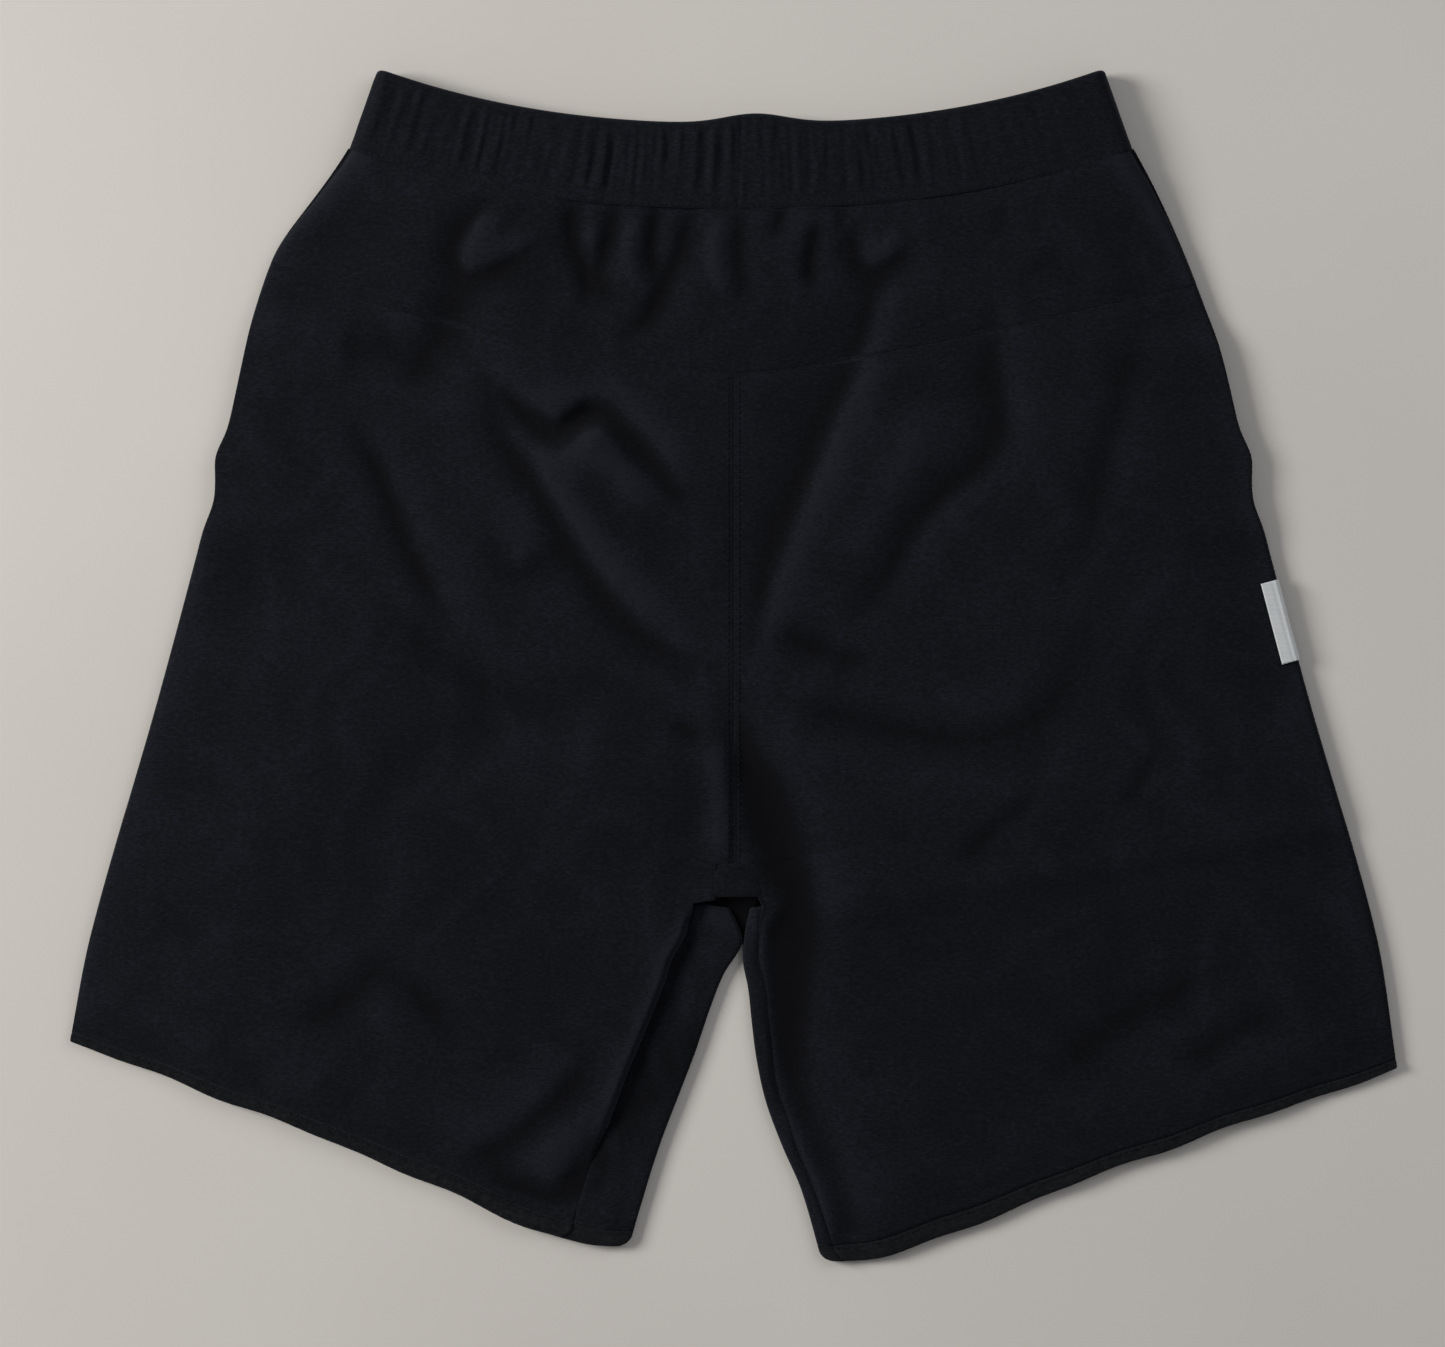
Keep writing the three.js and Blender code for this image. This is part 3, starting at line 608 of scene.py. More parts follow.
# %% Brushed black jersey
def brushed_jersey(name, dark, mid, light, row_mm=0.9, sheen=0.1):
    """Cotton and polyester jersey, dyed blue-black and brushed."""
    material, tree, here = new_material(
        name, Roughness=0.93, Specular_IOR_Level=0.08,
        Sheen_Weight=sheen, Sheen_Roughness=0.55, Sheen_Tint=linear("#aab0bd"),
    )
    # Heather: fibres that took the dye differently, longer along the rows than across them.
    drawn_out = node(tree, "ShaderNodeMapping", [("Vector", here)], Scale=(420, 900, 600))
    fibre = node(tree, "ShaderNodeTexNoise", [("Vector", drawn_out)], Scale=1.0, Detail=3.0, Roughness=0.7)
    cloud = node(tree, "ShaderNodeTexNoise", [("Vector", here)], Scale=26.0, Detail=4.0, Roughness=0.6)
    part = node(tree, "ShaderNodeMath", [(0, cloud)], operation="MULTIPLY", inputs_1=0.16)
    heather = node(tree, "ShaderNodeMath", [(0, fibre), (2, part)], operation="MULTIPLY_ADD", inputs_1=0.84)
    # Painted shade and light: the colour is darker in the folds' valleys and lighter on their crests.
    painted_shade = node(tree, "ShaderNodeAttribute", attribute_name="painted_shade").outputs["Fac"]
    shaded_heather = node(tree, "ShaderNodeMath", [(0, painted_shade), (2, heather)], operation="MULTIPLY_ADD", inputs_1=0.2)
    # the darkest stop is there for the painted shade
    shades = [(0.2, "#020203"), (0.36, dark), (0.5, mid), (0.72, light)]
    colour = node(tree, "ShaderNodeValToRGB", [("Fac", shaded_heather)], shades)
    # The knit's rows, wavering a little, and the nap over them.
    waver = node(tree, "ShaderNodeTexNoise", [("Vector", here)], Scale=60.0, Detail=2.0)
    level = node(tree, "ShaderNodeSeparateXYZ", [("Vector", here)]).outputs["Y"]
    bent = node(tree, "ShaderNodeMath", [(0, waver), (2, level)], operation="MULTIPLY_ADD", inputs_1=0.0012)
    turns = 2 * math.pi / (row_mm / 1000)
    phase = node(tree, "ShaderNodeMath", [(0, bent)], operation="MULTIPLY", inputs_1=turns)
    row = node(tree, "ShaderNodeMath", [(0, phase)], operation="SINE")
    fuzz = node(tree, "ShaderNodeTexNoise", [("Vector", drawn_out)], Scale=1.7, Detail=2.0, Roughness=0.6)
    height = node(tree, "ShaderNodeMath", [(0, row), (2, fuzz)], operation="MULTIPLY_ADD", inputs_1=0.16)
    surface(tree, colour, node(tree, "ShaderNodeBump", [("Height", height)], Strength=0.5, Distance=0.0004))
    return material


JERSEY = brushed_jersey("brushed_black_jersey", "#050609", "#0b0c11", "#15171e")
BINDING = brushed_jersey("jersey_binding", "#07080a", "#0e0f11", "#17191b", row_mm=0.8)
POCKETING = brushed_jersey("black_pocketing", "#060608", "#0b0b0d", "#121214", row_mm=1.2, sheen=0.05)


# %% [markdown]
# ## Elastic, thread and labels
# The elastic is woven polyester over rubber, ribbed along its length. The thread is spun black
# polyester, a shade glossier than the cloth. The labels are woven satin tape, grey-white and blank.


# %% Elastic, thread and label tape
def ribbed_elastic(name):
    material, tree, here = new_material(name, Roughness=0.75)
    rib = node(
        tree, "ShaderNodeTexWave", [("Vector", here)], Scale=330.0, Distortion=0.6, bands_direction="Y"
    ).outputs["Fac"]
    colour = node(tree, "ShaderNodeValToRGB", [("Fac", rib)], [(0.2, "#b9b9b4"), (0.8, "#e2e2dd")])
    surface(tree, colour, node(tree, "ShaderNodeBump", [("Height", rib)], Strength=0.5, Distance=0.0004))
    return material


def spun_thread(name):
    material, tree, here = new_material(name, Roughness=0.7, Specular_IOR_Level=0.12)
    fuzz = node(tree, "ShaderNodeTexNoise", [("Vector", here)], Scale=2500.0, Detail=2.0)
    surface(tree, node(tree, "ShaderNodeValToRGB", [("Fac", fuzz)], [(0.35, "#090a0d"), (0.65, "#15171b")]))
    return material


def woven_tape(name):
    material, tree, here = new_material(name, Roughness=0.5, Sheen_Weight=0.25)
    weft = node(
        tree, "ShaderNodeTexWave", [("Vector", here)],
        Scale=520.0, Distortion=1.2, Detail=1.0, bands_direction="Y",
    ).outputs["Fac"]
    soil = node(tree, "ShaderNodeTexNoise", [("Vector", here)], Scale=140.0, Detail=4.0)
    blend = node(tree, "ShaderNodeMath", [(0, weft), (1, soil)], operation="ADD")
    colour = node(tree, "ShaderNodeValToRGB", [("Fac", blend)], [(0.3, "#a6a8a9"), (1.0, "#c2c5c6")])
    surface(tree, colour, node(tree, "ShaderNodeBump", [("Height", weft)], Strength=0.45, Distance=0.0002))
    return material


ELASTIC = ribbed_elastic("ribbed_elastic")
THREAD = spun_thread("black_spun_thread")
TAPE = woven_tape("woven_label_tape")
print("materials:", [m.name for m in bpy.data.materials])

# %% [markdown]
# ## The cloth that the shorts lie on
# The floor is a plain pale cotton sheet. It lies a hair below the shorts, so that no two faces
# share one level.


# %% The pale floor
FLOOR_REACH, FLOOR_LEVEL = 3000, -0.3


def pale_floor():
    material, tree, here = new_material("pale_cotton", Roughness=0.95)
    soft = node(tree, "ShaderNodeTexNoise", [("Vector", here)], Scale=3.0, Detail=3.0)
    surface(tree, node(tree, "ShaderNodeValToRGB", [("Fac", soft)], [(0.3, "#bdb8b2"), (0.7, "#c3bfb9")]))
    ways = ((-1, -1), (1, -1), (1, 1), (-1, 1))
    corners = [(a * FLOOR_REACH, b * FLOOR_REACH, FLOOR_LEVEL) for a, b in ways]
    floor = finish_mesh("floor", corners, [(0, 1, 2, 3)], material)


pale_floor()

# %% [markdown]
# ## The back yoke
# The yoke is one curved strip between the waistband and the seat. It could be cut out of a flat
# grid, but then its seams would have stepped edges. Its rows run from the band's seam to the yoke
# seam, so both seams are smooth, and the panels below start from the same line.


# %% Helpers for rows and columns
def spaced(length, step=2.0):
    """Shares along a length: even steps, with finer ones in the last 3 mm at both ends."""
    fine = np.array([0, 0.5, 1.1, 1.9])
    middle = np.linspace(3, length - 3, max(2, int((length - 6) / step)))
    return np.concatenate([fine, middle, length - fine[::-1]]) / length


SEAM_GAP = 0.04  # between two edges that are sewn together


def rim(distance, depth=0.24):
    """How far the cloth dips where it turns into a seam."""
    return -depth * np.exp(-((distance / 1.0) ** 2))


def band_down(s):
    tilt = BAND_TILT * (2 * s - 1)
    return np.stack([np.sin(tilt), -np.cos(tilt)], -1)


def band_seam(s, dip=0.0):
    """The seam below the waistband, which turns round at the ends of the flat waist."""
    x = lerp(-WAIST_HALF, WAIST_HALF, s)
    down = band_down(s) * (BAND_HEIGHT + CLEARANCE)
    straight = 0.5 + (s - 0.5) * WAIST_HALF / (WAIST_HALF - WAIST_LOFT / 2)
    return x + down[..., 0], TOP_Y - drop_across(straight, dip) + down[..., 1]


def either_height(x, y):
    """The back layer's top where a piece crosses the middle."""
    return np.where(x < 0, back_height(LEGS["left"], x, y), back_height(LEGS["right"], x, y))


# %% Back yoke
YOKE_TUCK = 3.0


def back_yoke():
    s = spaced(2 * YOKE_HALF, 1.7)[None, :]
    t = spaced(75, 1.7)[:, None]
    top_x, top_y = band_seam(s)
    top_y = top_y + 0.26 + YOKE_TUCK * np.abs(2 * s - 1) ** 8  # its ends reach into the casing's ends
    low_x = lerp(-YOKE_HALF, YOKE_HALF, s)
    low_y = yoke_seam(low_x) + SEAM_GAP
    side = LEGS["left"].half_at(lerp(BAND_Y, TOP_Y - YOKE_DROP, t)) - lerp(BAND_HALF, YOKE_HALF, t)
    x = lerp(top_x, low_x, t) + side * (2 * s - 1) * np.abs(2 * s - 1) ** 3
    y = lerp(top_y, low_y, t)
    z = either_height(x, y) + rim((1 - t) * (top_y - low_y)) + rim(t * (top_y - low_y))
    return cloth_sheet("yoke_of_jersey", place(x, y, z), JERSEY)


YOKE = back_yoke()
print("yoke:", len(YOKE.data.polygons), "faces")

# %% [markdown]
# ## The two back panels
# Each back panel hangs from the yoke seam, meets its neighbour at the centre back, passes beside
# the gusset, and ends at the inner leg on the left and in a valley on the right. Rows that follow
# the cut keep each edge smooth, and the last row stops where the hem binding starts.


# %% Back panels
def centre_edge(leg, y):
    share = np.clip((y - CROTCH_Y) / GUSSET_LENGTH, 0, 1)
    beside = lerp(GUSSET_HALF, GUSSET_TIP, share) + 1.5 * CLEARANCE
    past = y > CROTCH_Y + GUSSET_LENGTH + CLEARANCE
    return leg.side * np.where(past, SEAM_GAP, beside - (3.4 if leg.side < 0 else 0) * (1 - 0.6 * share))


def rows_long(leg):
    """How far a leg's rows run down its inner edge."""
    return leg.tip - WRAP_START


def panel_end(leg):
    """The row where the panels stop, just above the hem binding."""
    return 1 - (BINDING_HEIGHT + CLEARANCE) / rows_long(leg)


def binding_top(leg):
    return 1 - BINDING_HEIGHT / rows_long(leg)


def inseam_shape(leg, v, off):
    """What the inseam adds to the back panel's height, `off` in from the panel's inner edge."""
    grown = smooth(v / 0.1)
    if leg.side < 0:  # the left panel ends in a raised edge over the front's wrap
        ridge = 0.8 * np.exp(-(((off - 3.2) / 2.4) ** 2)) - 3.0 * (1 - smooth(off / 2.6))
        ridge = ridge - 2.4 * smooth((v - 0.62) / 0.3) * (1 - smooth(off / 20))
    else:  # the right panel rolls over the edge, with a valley behind the roll
        ridge = -2.2 * np.exp(-(((off - 11) / 8) ** 2)) - 3.4 * (1 - smooth(off / 3.2)) - 1.3
    return ridge * grown


def back_leg_height(leg, v, off, x, y):
    hem = -3.0 * (1 - smooth((1 - v) * rows_long(leg) / 42))
    floor = 3.5  # where the cloth comes to rest on the front layer
    above = back_height(leg, x, y) + hem + inseam_shape(leg, v, off) - floor
    return floor + (above + np.sqrt(above**2 + 0.6)) / 2


def back_leg_rows(leg, v, columns):
    wrap = leg.wrap(v)
    width = leg.length(v) - wrap - CLEARANCE
    off = width * (1 - columns)
    x, y = leg.on_row(v, wrap + CLEARANCE + off)
    return x, y, off


def back_panel(name, leg):
    columns = spaced(YOKE_HALF, 2.0)[None, :]
    tip = CROTCH_Y + GUSSET_LENGTH
    yoke_end, yoke_middle = TOP_Y - YOKE_DROP - SEAM_GAP, TOP_Y - YOKE_CENTRE - SEAM_GAP
    upper = yoke_middle - spaced(yoke_middle - tip - 0.4, 2.0) * (yoke_middle - tip - 0.4)
    inner_y = np.concatenate([upper, np.linspace(tip + CLEARANCE, CROTCH_Y, 9)])[:, None]
    t = (yoke_middle - inner_y) / (yoke_middle - CROTCH_Y)
    outer_y = lerp(yoke_end, CROTCH_Y + CROTCH_RISE, t)
    straight = lerp(yoke_end, yoke_middle, columns)
    bow = (yoke_seam(YOKE_HALF * (1 - columns)) - SEAM_GAP - straight) * (1 - t)
    x = lerp(leg.side * leg.half_at(outer_y), centre_edge(leg, inner_y), columns)
    y = lerp(outer_y, inner_y, columns) + bow
    z = back_height(leg, x, y) + rim(t * (yoke_middle - CROTCH_Y))
    z = z + rim((1 - columns) * YOKE_HALF, 0.2)
    body = place(x, y, z)
    v = np.linspace(0, panel_end(leg), 80)[:, None]
    x, y, off = back_leg_rows(leg, v, columns)
    z = back_leg_height(leg, v, off, x, y) + rim((panel_end(leg) - v) * rows_long(leg))
    return cloth_sheet(name, np.concatenate([body, place(x, y, z)]), JERSEY)


BACK = {side: back_panel(f"back_panel_{side}", leg) for side, leg in LEGS.items()}
print("back panels:", [len(p.data.polygons) for p in BACK.values()], "faces")

# %% [markdown]
# ## The front panels and their wrap
# The front panels lie face down on the table. At the inner leg each one folds up and back over
# itself, and this strip is what shows between the legs. The fold is a half circle of cloth, and
# the strip after it is nearly level.


# %% Front panels
FOLD = 2.3  # radius of the fold at the inner leg
WRAP_BULGE = 0.7  # how far the strip after the fold stands up
FRONT_COLUMNS = spaced(260, 4.0)[None, :]


def strip_profile(wrap):
    """The wrap's section for each row: (off, height, outward, upward) arrays."""
    turn = np.linspace(-math.pi / 2, math.pi / 2, 13)[None, :]
    off = np.broadcast_to(FOLD * (1 - np.cos(turn)), (len(wrap), 13))
    height = np.broadcast_to(FOLD * (1 + np.sin(turn)), off.shape)
    out = np.broadcast_to(np.cos(turn), off.shape)
    upward = np.broadcast_to(np.sin(turn), off.shape)
    share = np.linspace(0, 1, 15)[None, 1:]
    strip = lerp(FOLD, wrap + 2.6, share)
    top = 2 * FOLD + WRAP_BULGE * np.sin(math.pi * share**0.8) - 0.3 * share
    level = np.zeros_like(strip)
    return (
        np.concatenate([off, strip], 1),
        np.concatenate([height, np.broadcast_to(top, strip.shape)], 1),
        np.concatenate([out, level], 1),
        np.concatenate([upward, level + 1], 1),
    )


def front_rows(leg, v, thick):
    """Outer and inner grids of the front layer for rows at v."""
    width = leg.length(v) - FOLD
    x, y = leg.on_row(v, FOLD + width * (1 - FRONT_COLUMNS))
    flat_out = place(x, y, np.zeros_like(x))
    flat_in = place(x, y, np.full_like(x, thick))
    off, z, out, upward = strip_profile(leg.wrap(v))
    x, y = leg.on_row(v, off)
    z = z + (off > FOLD) * 0.3 * ripple(x, y, 17, 21, (0.7, 1.6)) * smooth((off - FOLD) / 4)
    aim = leg.inner(v) - leg.outer(v)
    aim = aim / np.linalg.norm(aim, axis=-1, keepdims=True)
    strip_out = place(x, y, z)
    strip_in = place(x - aim[..., 0] * out * thick, y - aim[..., 1] * out * thick, z - upward * thick)
    return (
        np.concatenate([flat_out, strip_out[:, 1:]], 1),
        np.concatenate([flat_in, strip_in[:, 1:]], 1),
    )


def widened(grid, columns):
    """A grid with its last column repeated, beside which the wrap has its own columns."""
    return np.concatenate([grid, np.repeat(grid[:, -1:], columns - grid.shape[1], axis=1)], 1)


def front_panel(name, leg):
    v = np.linspace(0, panel_end(leg), 80)[:, None]
    leg_out, leg_in = front_rows(leg, v, FABRIC)
    columns = leg_out.shape[1]
    middle = band_seam(np.array(0.5), FRONT_DIP)[1]
    tip = CROTCH_Y + GUSSET_LENGTH
    above, beside = np.linspace(middle, tip + 0.4, 60), np.linspace(tip + CLEARANCE, CROTCH_Y, 6)
    inner_y = np.concatenate([above, beside])[:, None]
    t = (middle - inner_y) / (middle - CROTCH_Y)
    outer_y = lerp(BAND_Y, CROTCH_Y + CROTCH_RISE, t)
    seam_y = band_seam(0.5 + leg.side * (1 - FRONT_COLUMNS) / 2, FRONT_DIP)[1]
    bow = (seam_y - lerp(BAND_Y, middle, FRONT_COLUMNS)) * (1 - t)
    x = lerp(leg.side * leg.half_at(outer_y), centre_edge(leg, inner_y), FRONT_COLUMNS)
    y = lerp(outer_y, inner_y, FRONT_COLUMNS) + bow
    outer = np.concatenate([widened(place(x, y, np.zeros_like(x)), columns), leg_out])
    inner = np.concatenate([widened(place(x, y, np.full_like(x, FABRIC)), columns), leg_in])
    keep = np.ones((len(outer) - 1, columns - 1), bool)
    keep[: len(inner_y), FRONT_COLUMNS.shape[1] - 1 :] = False
    return cloth_sheet(name, outer, JERSEY, inner=inner, keep=keep)


FRONT = {side: front_panel(f"front_panel_{side}", leg) for side, leg in LEGS.items()}
print("front panels:", [len(p.data.polygons) for p in FRONT.values()], "faces")

# %% [markdown]
# ## The hem bindings
# A strip of the same jersey is folded over each raw hem and sewn down. It is a little thicker than
# the panels and its upper edge is pulled into tiny puckers by the thread.


# %% Hem bindings
def pillow(share):
    """How a folded strip swells between its two edges."""
    return 0.55 * (1 - (2 * share - 1) ** 6)


BACK_BINDING, FRONT_BINDING = 1.9, 1.7  # thickness of the folded strips


def binding_point(leg, v, columns):
    """Plan points and heights on a back binding, and their share of the way down it."""
    share = (v - binding_top(leg)) / (1 - binding_top(leg))
    x, y, off = back_leg_rows(leg, v, columns)
    return x, y, back_leg_height(leg, v, off, x, y) + pillow(share) - 0.25, share


def back_binding(name, leg):
    columns = spaced(YOKE_HALF, 0.9)[None, :]
    v = lerp(binding_top(leg), 1, np.linspace(0, 1, 11))[:, None]
    x, y, z, share = binding_point(leg, v, columns)
    z = z + 0.16 * ripple(x, y, 5.5, 8) * smooth(share * 3 + 0.2)
    return cloth_sheet(name, place(x, y, z), BINDING, inner=place(x, y, z - BACK_BINDING))


def front_binding(name, leg):
    v = lerp(binding_top(leg), 1, np.linspace(0, 1, 9))[:, None]
    outer, inner = front_rows(leg, v, FRONT_BINDING)
    return cloth_sheet(name, outer, BINDING, inner=inner)


HEMS = {}
for side, leg in LEGS.items():
    HEMS["back", side] = back_binding(f"hem_binding_of_back_{side}", leg)
    HEMS["front", side] = front_binding(f"hem_binding_of_front_{side}", leg)
print("hem bindings:", [len(p.data.polygons) for p in HEMS.values()], "faces")

# %% [markdown]
# ## The crotch gusset
# The gusset is a small piece that joins all four panels, and it folds where the shorts are laid
# flat: from the front, round the fold, and up on to the back.


# %% Crotch gusset
GUSSET_TONGUE = 21  # how far it hangs down between the legs


def crotch_gusset():
    """From the front seam, down to a tongue between the legs, and up over the fold to the back."""
    turn = np.linspace(-math.pi / 2, math.pi / 2, 9)
    top = LOFT - 0.9
    behind = np.concatenate([
        np.linspace(GUSSET_LENGTH, -GUSSET_TONGUE, 14), -GUSSET_TONGUE - 0.4 - 0.4 * np.cos(turn),
        np.linspace(-GUSSET_TONGUE, 1.5, 12),
        3.2 - 1.7 * np.cos(turn), np.linspace(3.6, GUSSET_LENGTH + 0.6, 14),
    ])
    height = np.concatenate([
        np.full(14, 0.1), 0.85 + 0.75 * np.sin(turn), lerp(1.6, 4.6, np.linspace(0, 1, 12) ** 6),
        (top + 5.2) / 2 + (top - 5.2) / 2 * np.sin(turn), np.full(14, top),
    ])
    behind, height = behind[:, None], height[:, None]
    across = np.linspace(-1, 1, 31)[None, :]
    half = np.interp(behind, [-22, -16, -6, 0, GUSSET_LENGTH], [1.2, 2.4, 7, 10.4, 8.8])
    half = half + 1.3 * smooth((height - 5) / 3)  # its back laps over the panels' edges
    corner = 1 - 0.1 * smooth((np.abs(across) - 0.8) / 0.2) * smooth((behind - 14) / 3)
    x = lerp(1.7, 4.4, smooth(-behind / 16)) + across * half
    y = CROTCH_Y + GUSSET_LENGTH + (behind - GUSSET_LENGTH) * corner
    on_top = smooth((height - 5) / 4)
    level = either_height(x, y) - top  # level with the panels beside it
    swell = 0.3 + 0.25 * ripple(x, y, 14, 31) - 0.42 * across**6 - 0.42 * smooth((behind - 13) / 4)
    grid = place(x, y, height + on_top * (swell + level))
    tongue_shade = 2 * (on_top + 0 * x - 1)  # painted shade: the tongue, down between the legs, is coloured darkest
    return cloth_sheet("gusset_of_jersey", grid, JERSEY, thick=0.6, painted_shade=tongue_shade)


GUSSET = crotch_gusset()
print("gusset:", len(GUSSET.data.polygons), "faces")

# %% [markdown]
# ## The waistband
# The casing is jersey folded over the elastic. Sewn while the elastic is stretched, it springs back
# into fine upright gathers, strongest at the left and the middle. Its section is a narrow loop that
# is open along the seam, and it is carried round the waist while the gathers push its outer face.


# %% Frames round the waist
def round_waist(back, gap, steps):
    """Points, inward and down directions of half the band, from the left side to the right."""
    bend = WAIST_LOFT / 2
    dip = 0 if back else FRONT_DIP
    lift = 1 if back else -1
    stop = math.pi / 2 - gap
    turns = np.linspace(0, stop, 9)
    s = np.concatenate([np.zeros(9), np.linspace(0, 1, steps)[1:-1], np.ones(9)])
    angle = np.concatenate([turns[::-1], np.zeros(steps - 2), turns])
    x = lerp(bend - WAIST_HALF, WAIST_HALF - bend, s)
    y = TOP_Y - drop_across(s, dip)
    down = np.concatenate([band_down(s), np.zeros((len(s), 1))], 1)
    out = np.stack([-down[:, 1], down[:, 0], np.zeros(len(s))], -1) * np.where(s < 0.5, -1, 1)[:, None]
    inward = -out * np.sin(angle)[:, None] + np.array([0, 0, -lift]) * np.cos(angle)[:, None]
    at = np.stack([x, y, np.full(len(s), bend)], -1) - inward * bend
    run = np.r_[0, np.cumsum(np.linalg.norm(np.diff(at, axis=0), axis=1))]
    return at, inward, down, run


GATHERS = {True: 0.55, False: 0.45}  # millimetres, on the back and on the front


def gathers(run, depth, middle, back):
    """How far the gathers push the casing's outer face out, along the band and down it."""
    fine = ripple(run, depth, 8.5, 41, (1, 9)) + 0.5 * ripple(run, depth, 5.0, 43, (1, 6))
    fade = lerp(0.95, 0.35, smooth((run - middle - 40) / 120))
    fade = fade * (1 - 0.3 * smooth((middle - 90 - run) / 60))
    held = smooth((depth - 1) / 7) * (1 - 0.8 * smooth((depth - 31) / 5))
    seam = -0.5 * np.exp(-(((run - middle) / 0.9) ** 2))
    push = GATHERS[back] * fade * fine * held + seam
    return push if back else 0.5 * np.minimum(push, 0)  # the table presses the front's gathers flat


def carry(name, section, frames, material, push=None, closed=False):
    """Carries a closed section of (inward, down) points round the band."""
    at, inward, down, run = frames
    section = np.array(section, float)
    a = np.broadcast_to(section[:, 0], (len(at), len(section)))
    b = np.broadcast_to(section[:, 1], a.shape)
    if push is not None:
        a = a - push(run[:, None], b) * np.exp(-((a / 1.0) ** 2))
    points = at[:, None] + inward[:, None] * a[..., None] + down[:, None] * b[..., None]
    grid = place(points[..., 0], points[..., 1], points[..., 2])
    m, n = grid.shape[:2]
    k, i = np.meshgrid(np.arange(m if closed else m - 1), np.arange(n), indexing="ij")
    k, i = k.ravel(), i.ravel()
    after, beside = (k + 1) % m, (i + 1) % n
    faces = np.stack([k * n + i, k * n + beside, after * n + beside, after * n + i], -1)
    flat = grid.reshape(-1, 3)
    sides = facing_out(flat, faces)
    ends = []
    if not closed:
        first, last = list(range(n)), list(range((m - 1) * n, m * n))
        ends = [first[::-1], last] if sides is faces else [first, last[::-1]]
    return finish_mesh(name, flat, sides.tolist() + ends, material)


# %% Casing halves and elastic
CASING = 4.4  # thickness of the folded casing with the elastic in it
BAND_STEPS = 520


def casing_section():
    """The casing's folded section, finely divided where the gathers show."""
    middle = CASING / 2
    inside = middle - FABRIC
    down = np.linspace(middle, BAND_HEIGHT, 40)
    turn = np.linspace(0, math.pi, 13)[1:-1]
    outer = [(0, b) for b in down[::-1]]
    top = [(middle - middle * math.cos(a), middle - middle * math.sin(a)) for a in turn]
    far = [(CASING, b) for b in down[::3]] + [(CASING, BAND_HEIGHT)]
    under = [(CASING - FABRIC, BAND_HEIGHT)] + [(CASING - FABRIC, b) for b in down[::-3]]
    crown = [(middle + inside * math.cos(a), middle - inside * math.sin(a)) for a in turn]
    back = [(FABRIC, b) for b in down[::3]] + [(FABRIC, BAND_HEIGHT)]
    section = outer + top + far[:-1] + under[1:] + crown + back[:-1]
    section[len(outer) + len(top) + len(far) - 2] = (CASING, BAND_HEIGHT)
    return section + [(FABRIC, BAND_HEIGHT)]


def casing_frames(back):
    """Frames round half the band, which stop just short of the other half's."""
    return round_waist(back, math.asin(SEAM_GAP / 2 / (WAIST_LOFT / 2 - CASING)), BAND_STEPS)


def casing(name, back):
    frames = casing_frames(back)
    middle = frames[3][-1] / 2
    return carry(name, casing_section(), frames, JERSEY, lambda run, b: gathers(run, b, middle, back))


ELASTIC_WIDTH, ELASTIC_THICK = 38, 1.4


def elastic_ring():
    """The ribbed elastic, which runs all the way round inside both halves of the casing."""
    back, front = round_waist(True, 0, 160), round_waist(False, 0, 160)
    frames = [np.concatenate([b, f[::-1][1:-1]]) for b, f in zip(back[:3], front[:3])]
    run = np.arange(len(frames[0]), dtype=float)
    near = FABRIC + CLEARANCE
    far = near + ELASTIC_THICK
    ribs = np.linspace(near + 0.2, near + ELASTIC_WIDTH - 0.2, 39)
    wave = 0.12 * np.cos(np.arange(39) * math.pi)
    section = [(near + w, b) for b, w in zip(ribs[::-1], wave)] + [(far - w, b) for b, w in zip(ribs, wave)]
    return carry("elastic_in_casing", section, (*frames, run), ELASTIC, closed=True)


BAND = {"back": casing("casing_of_back", True), "front": casing("casing_of_front", False)}
RING = elastic_ring()
print("waistband:", [len(p.data.polygons) for p in BAND.values()], "faces")

# %% [markdown]
# ## Pocket bags and labels
# The bags hang inside from the side seams. They barely show, but a hand would find them, so each is
# two plies sewn together at the edge. The flag label is a folded tab of woven tape in the right side
# seam. It is a piece of its own because it flips over.


# %% Pocket bags
POCKET_LENGTH, POCKET_DEPTH, POCKET_ABOVE = 206, 128, 8


def pocket_grid(leg):
    """A pocket ply in plan, and how far it is free to lift: its three closed sides are held down."""
    t = spaced(POCKET_LENGTH, 4.0)[:, None]
    y = MOUTH_TOP + POCKET_ABOVE - POCKET_LENGTH * t
    opened = mouth_open(y) ** 2
    inset = lerp(5.5, 1.0, opened) + 25.6 * smooth((MOUTH_END - y) / 70)
    depth = POCKET_DEPTH * (1 - 0.22 * (2 * t - 1) ** 4)
    s = spaced(115, 4.0)[None, :]
    x = leg.side * (leg.half_at(y) - lerp(inset, depth, s))
    width = depth - inset
    sides = ((1 - s) * width, t * POCKET_LENGTH, (1 - t) * POCKET_LENGTH)
    held = [smooth(d / 14) for d in sides]
    lift = lerp(smooth(s * width / 14), 1, opened) * held[0] * held[1] * held[2]
    return x, y + 0 * s, lift


def pocket_bags(side, leg):
    x, y, lift = pocket_grid(leg)
    inside = leg.half_at(y) - leg.side * x
    front = place(x, y, 2.3 + 0 * x)
    back = place(x, y, 3.5 + lift * (0.9 + 2.4 * mouth_open(y) ** 2 * np.exp(-((inside / 40) ** 2))))
    return (
        cloth_sheet(f"pocket_ply_front_{side}", front, POCKETING, thick=0.8),
        cloth_sheet(f"pocket_ply_back_{side}", back, POCKETING, thick=0.8),
    )


POCKETS = {side: pocket_bags(side, leg) for side, leg in LEGS.items()}


# %% Labels
FLAG_REACH, FLAG_HALF, FLAG_PLY = 8.9, 20, 0.32  # out of the seam, half its length, half its thickness


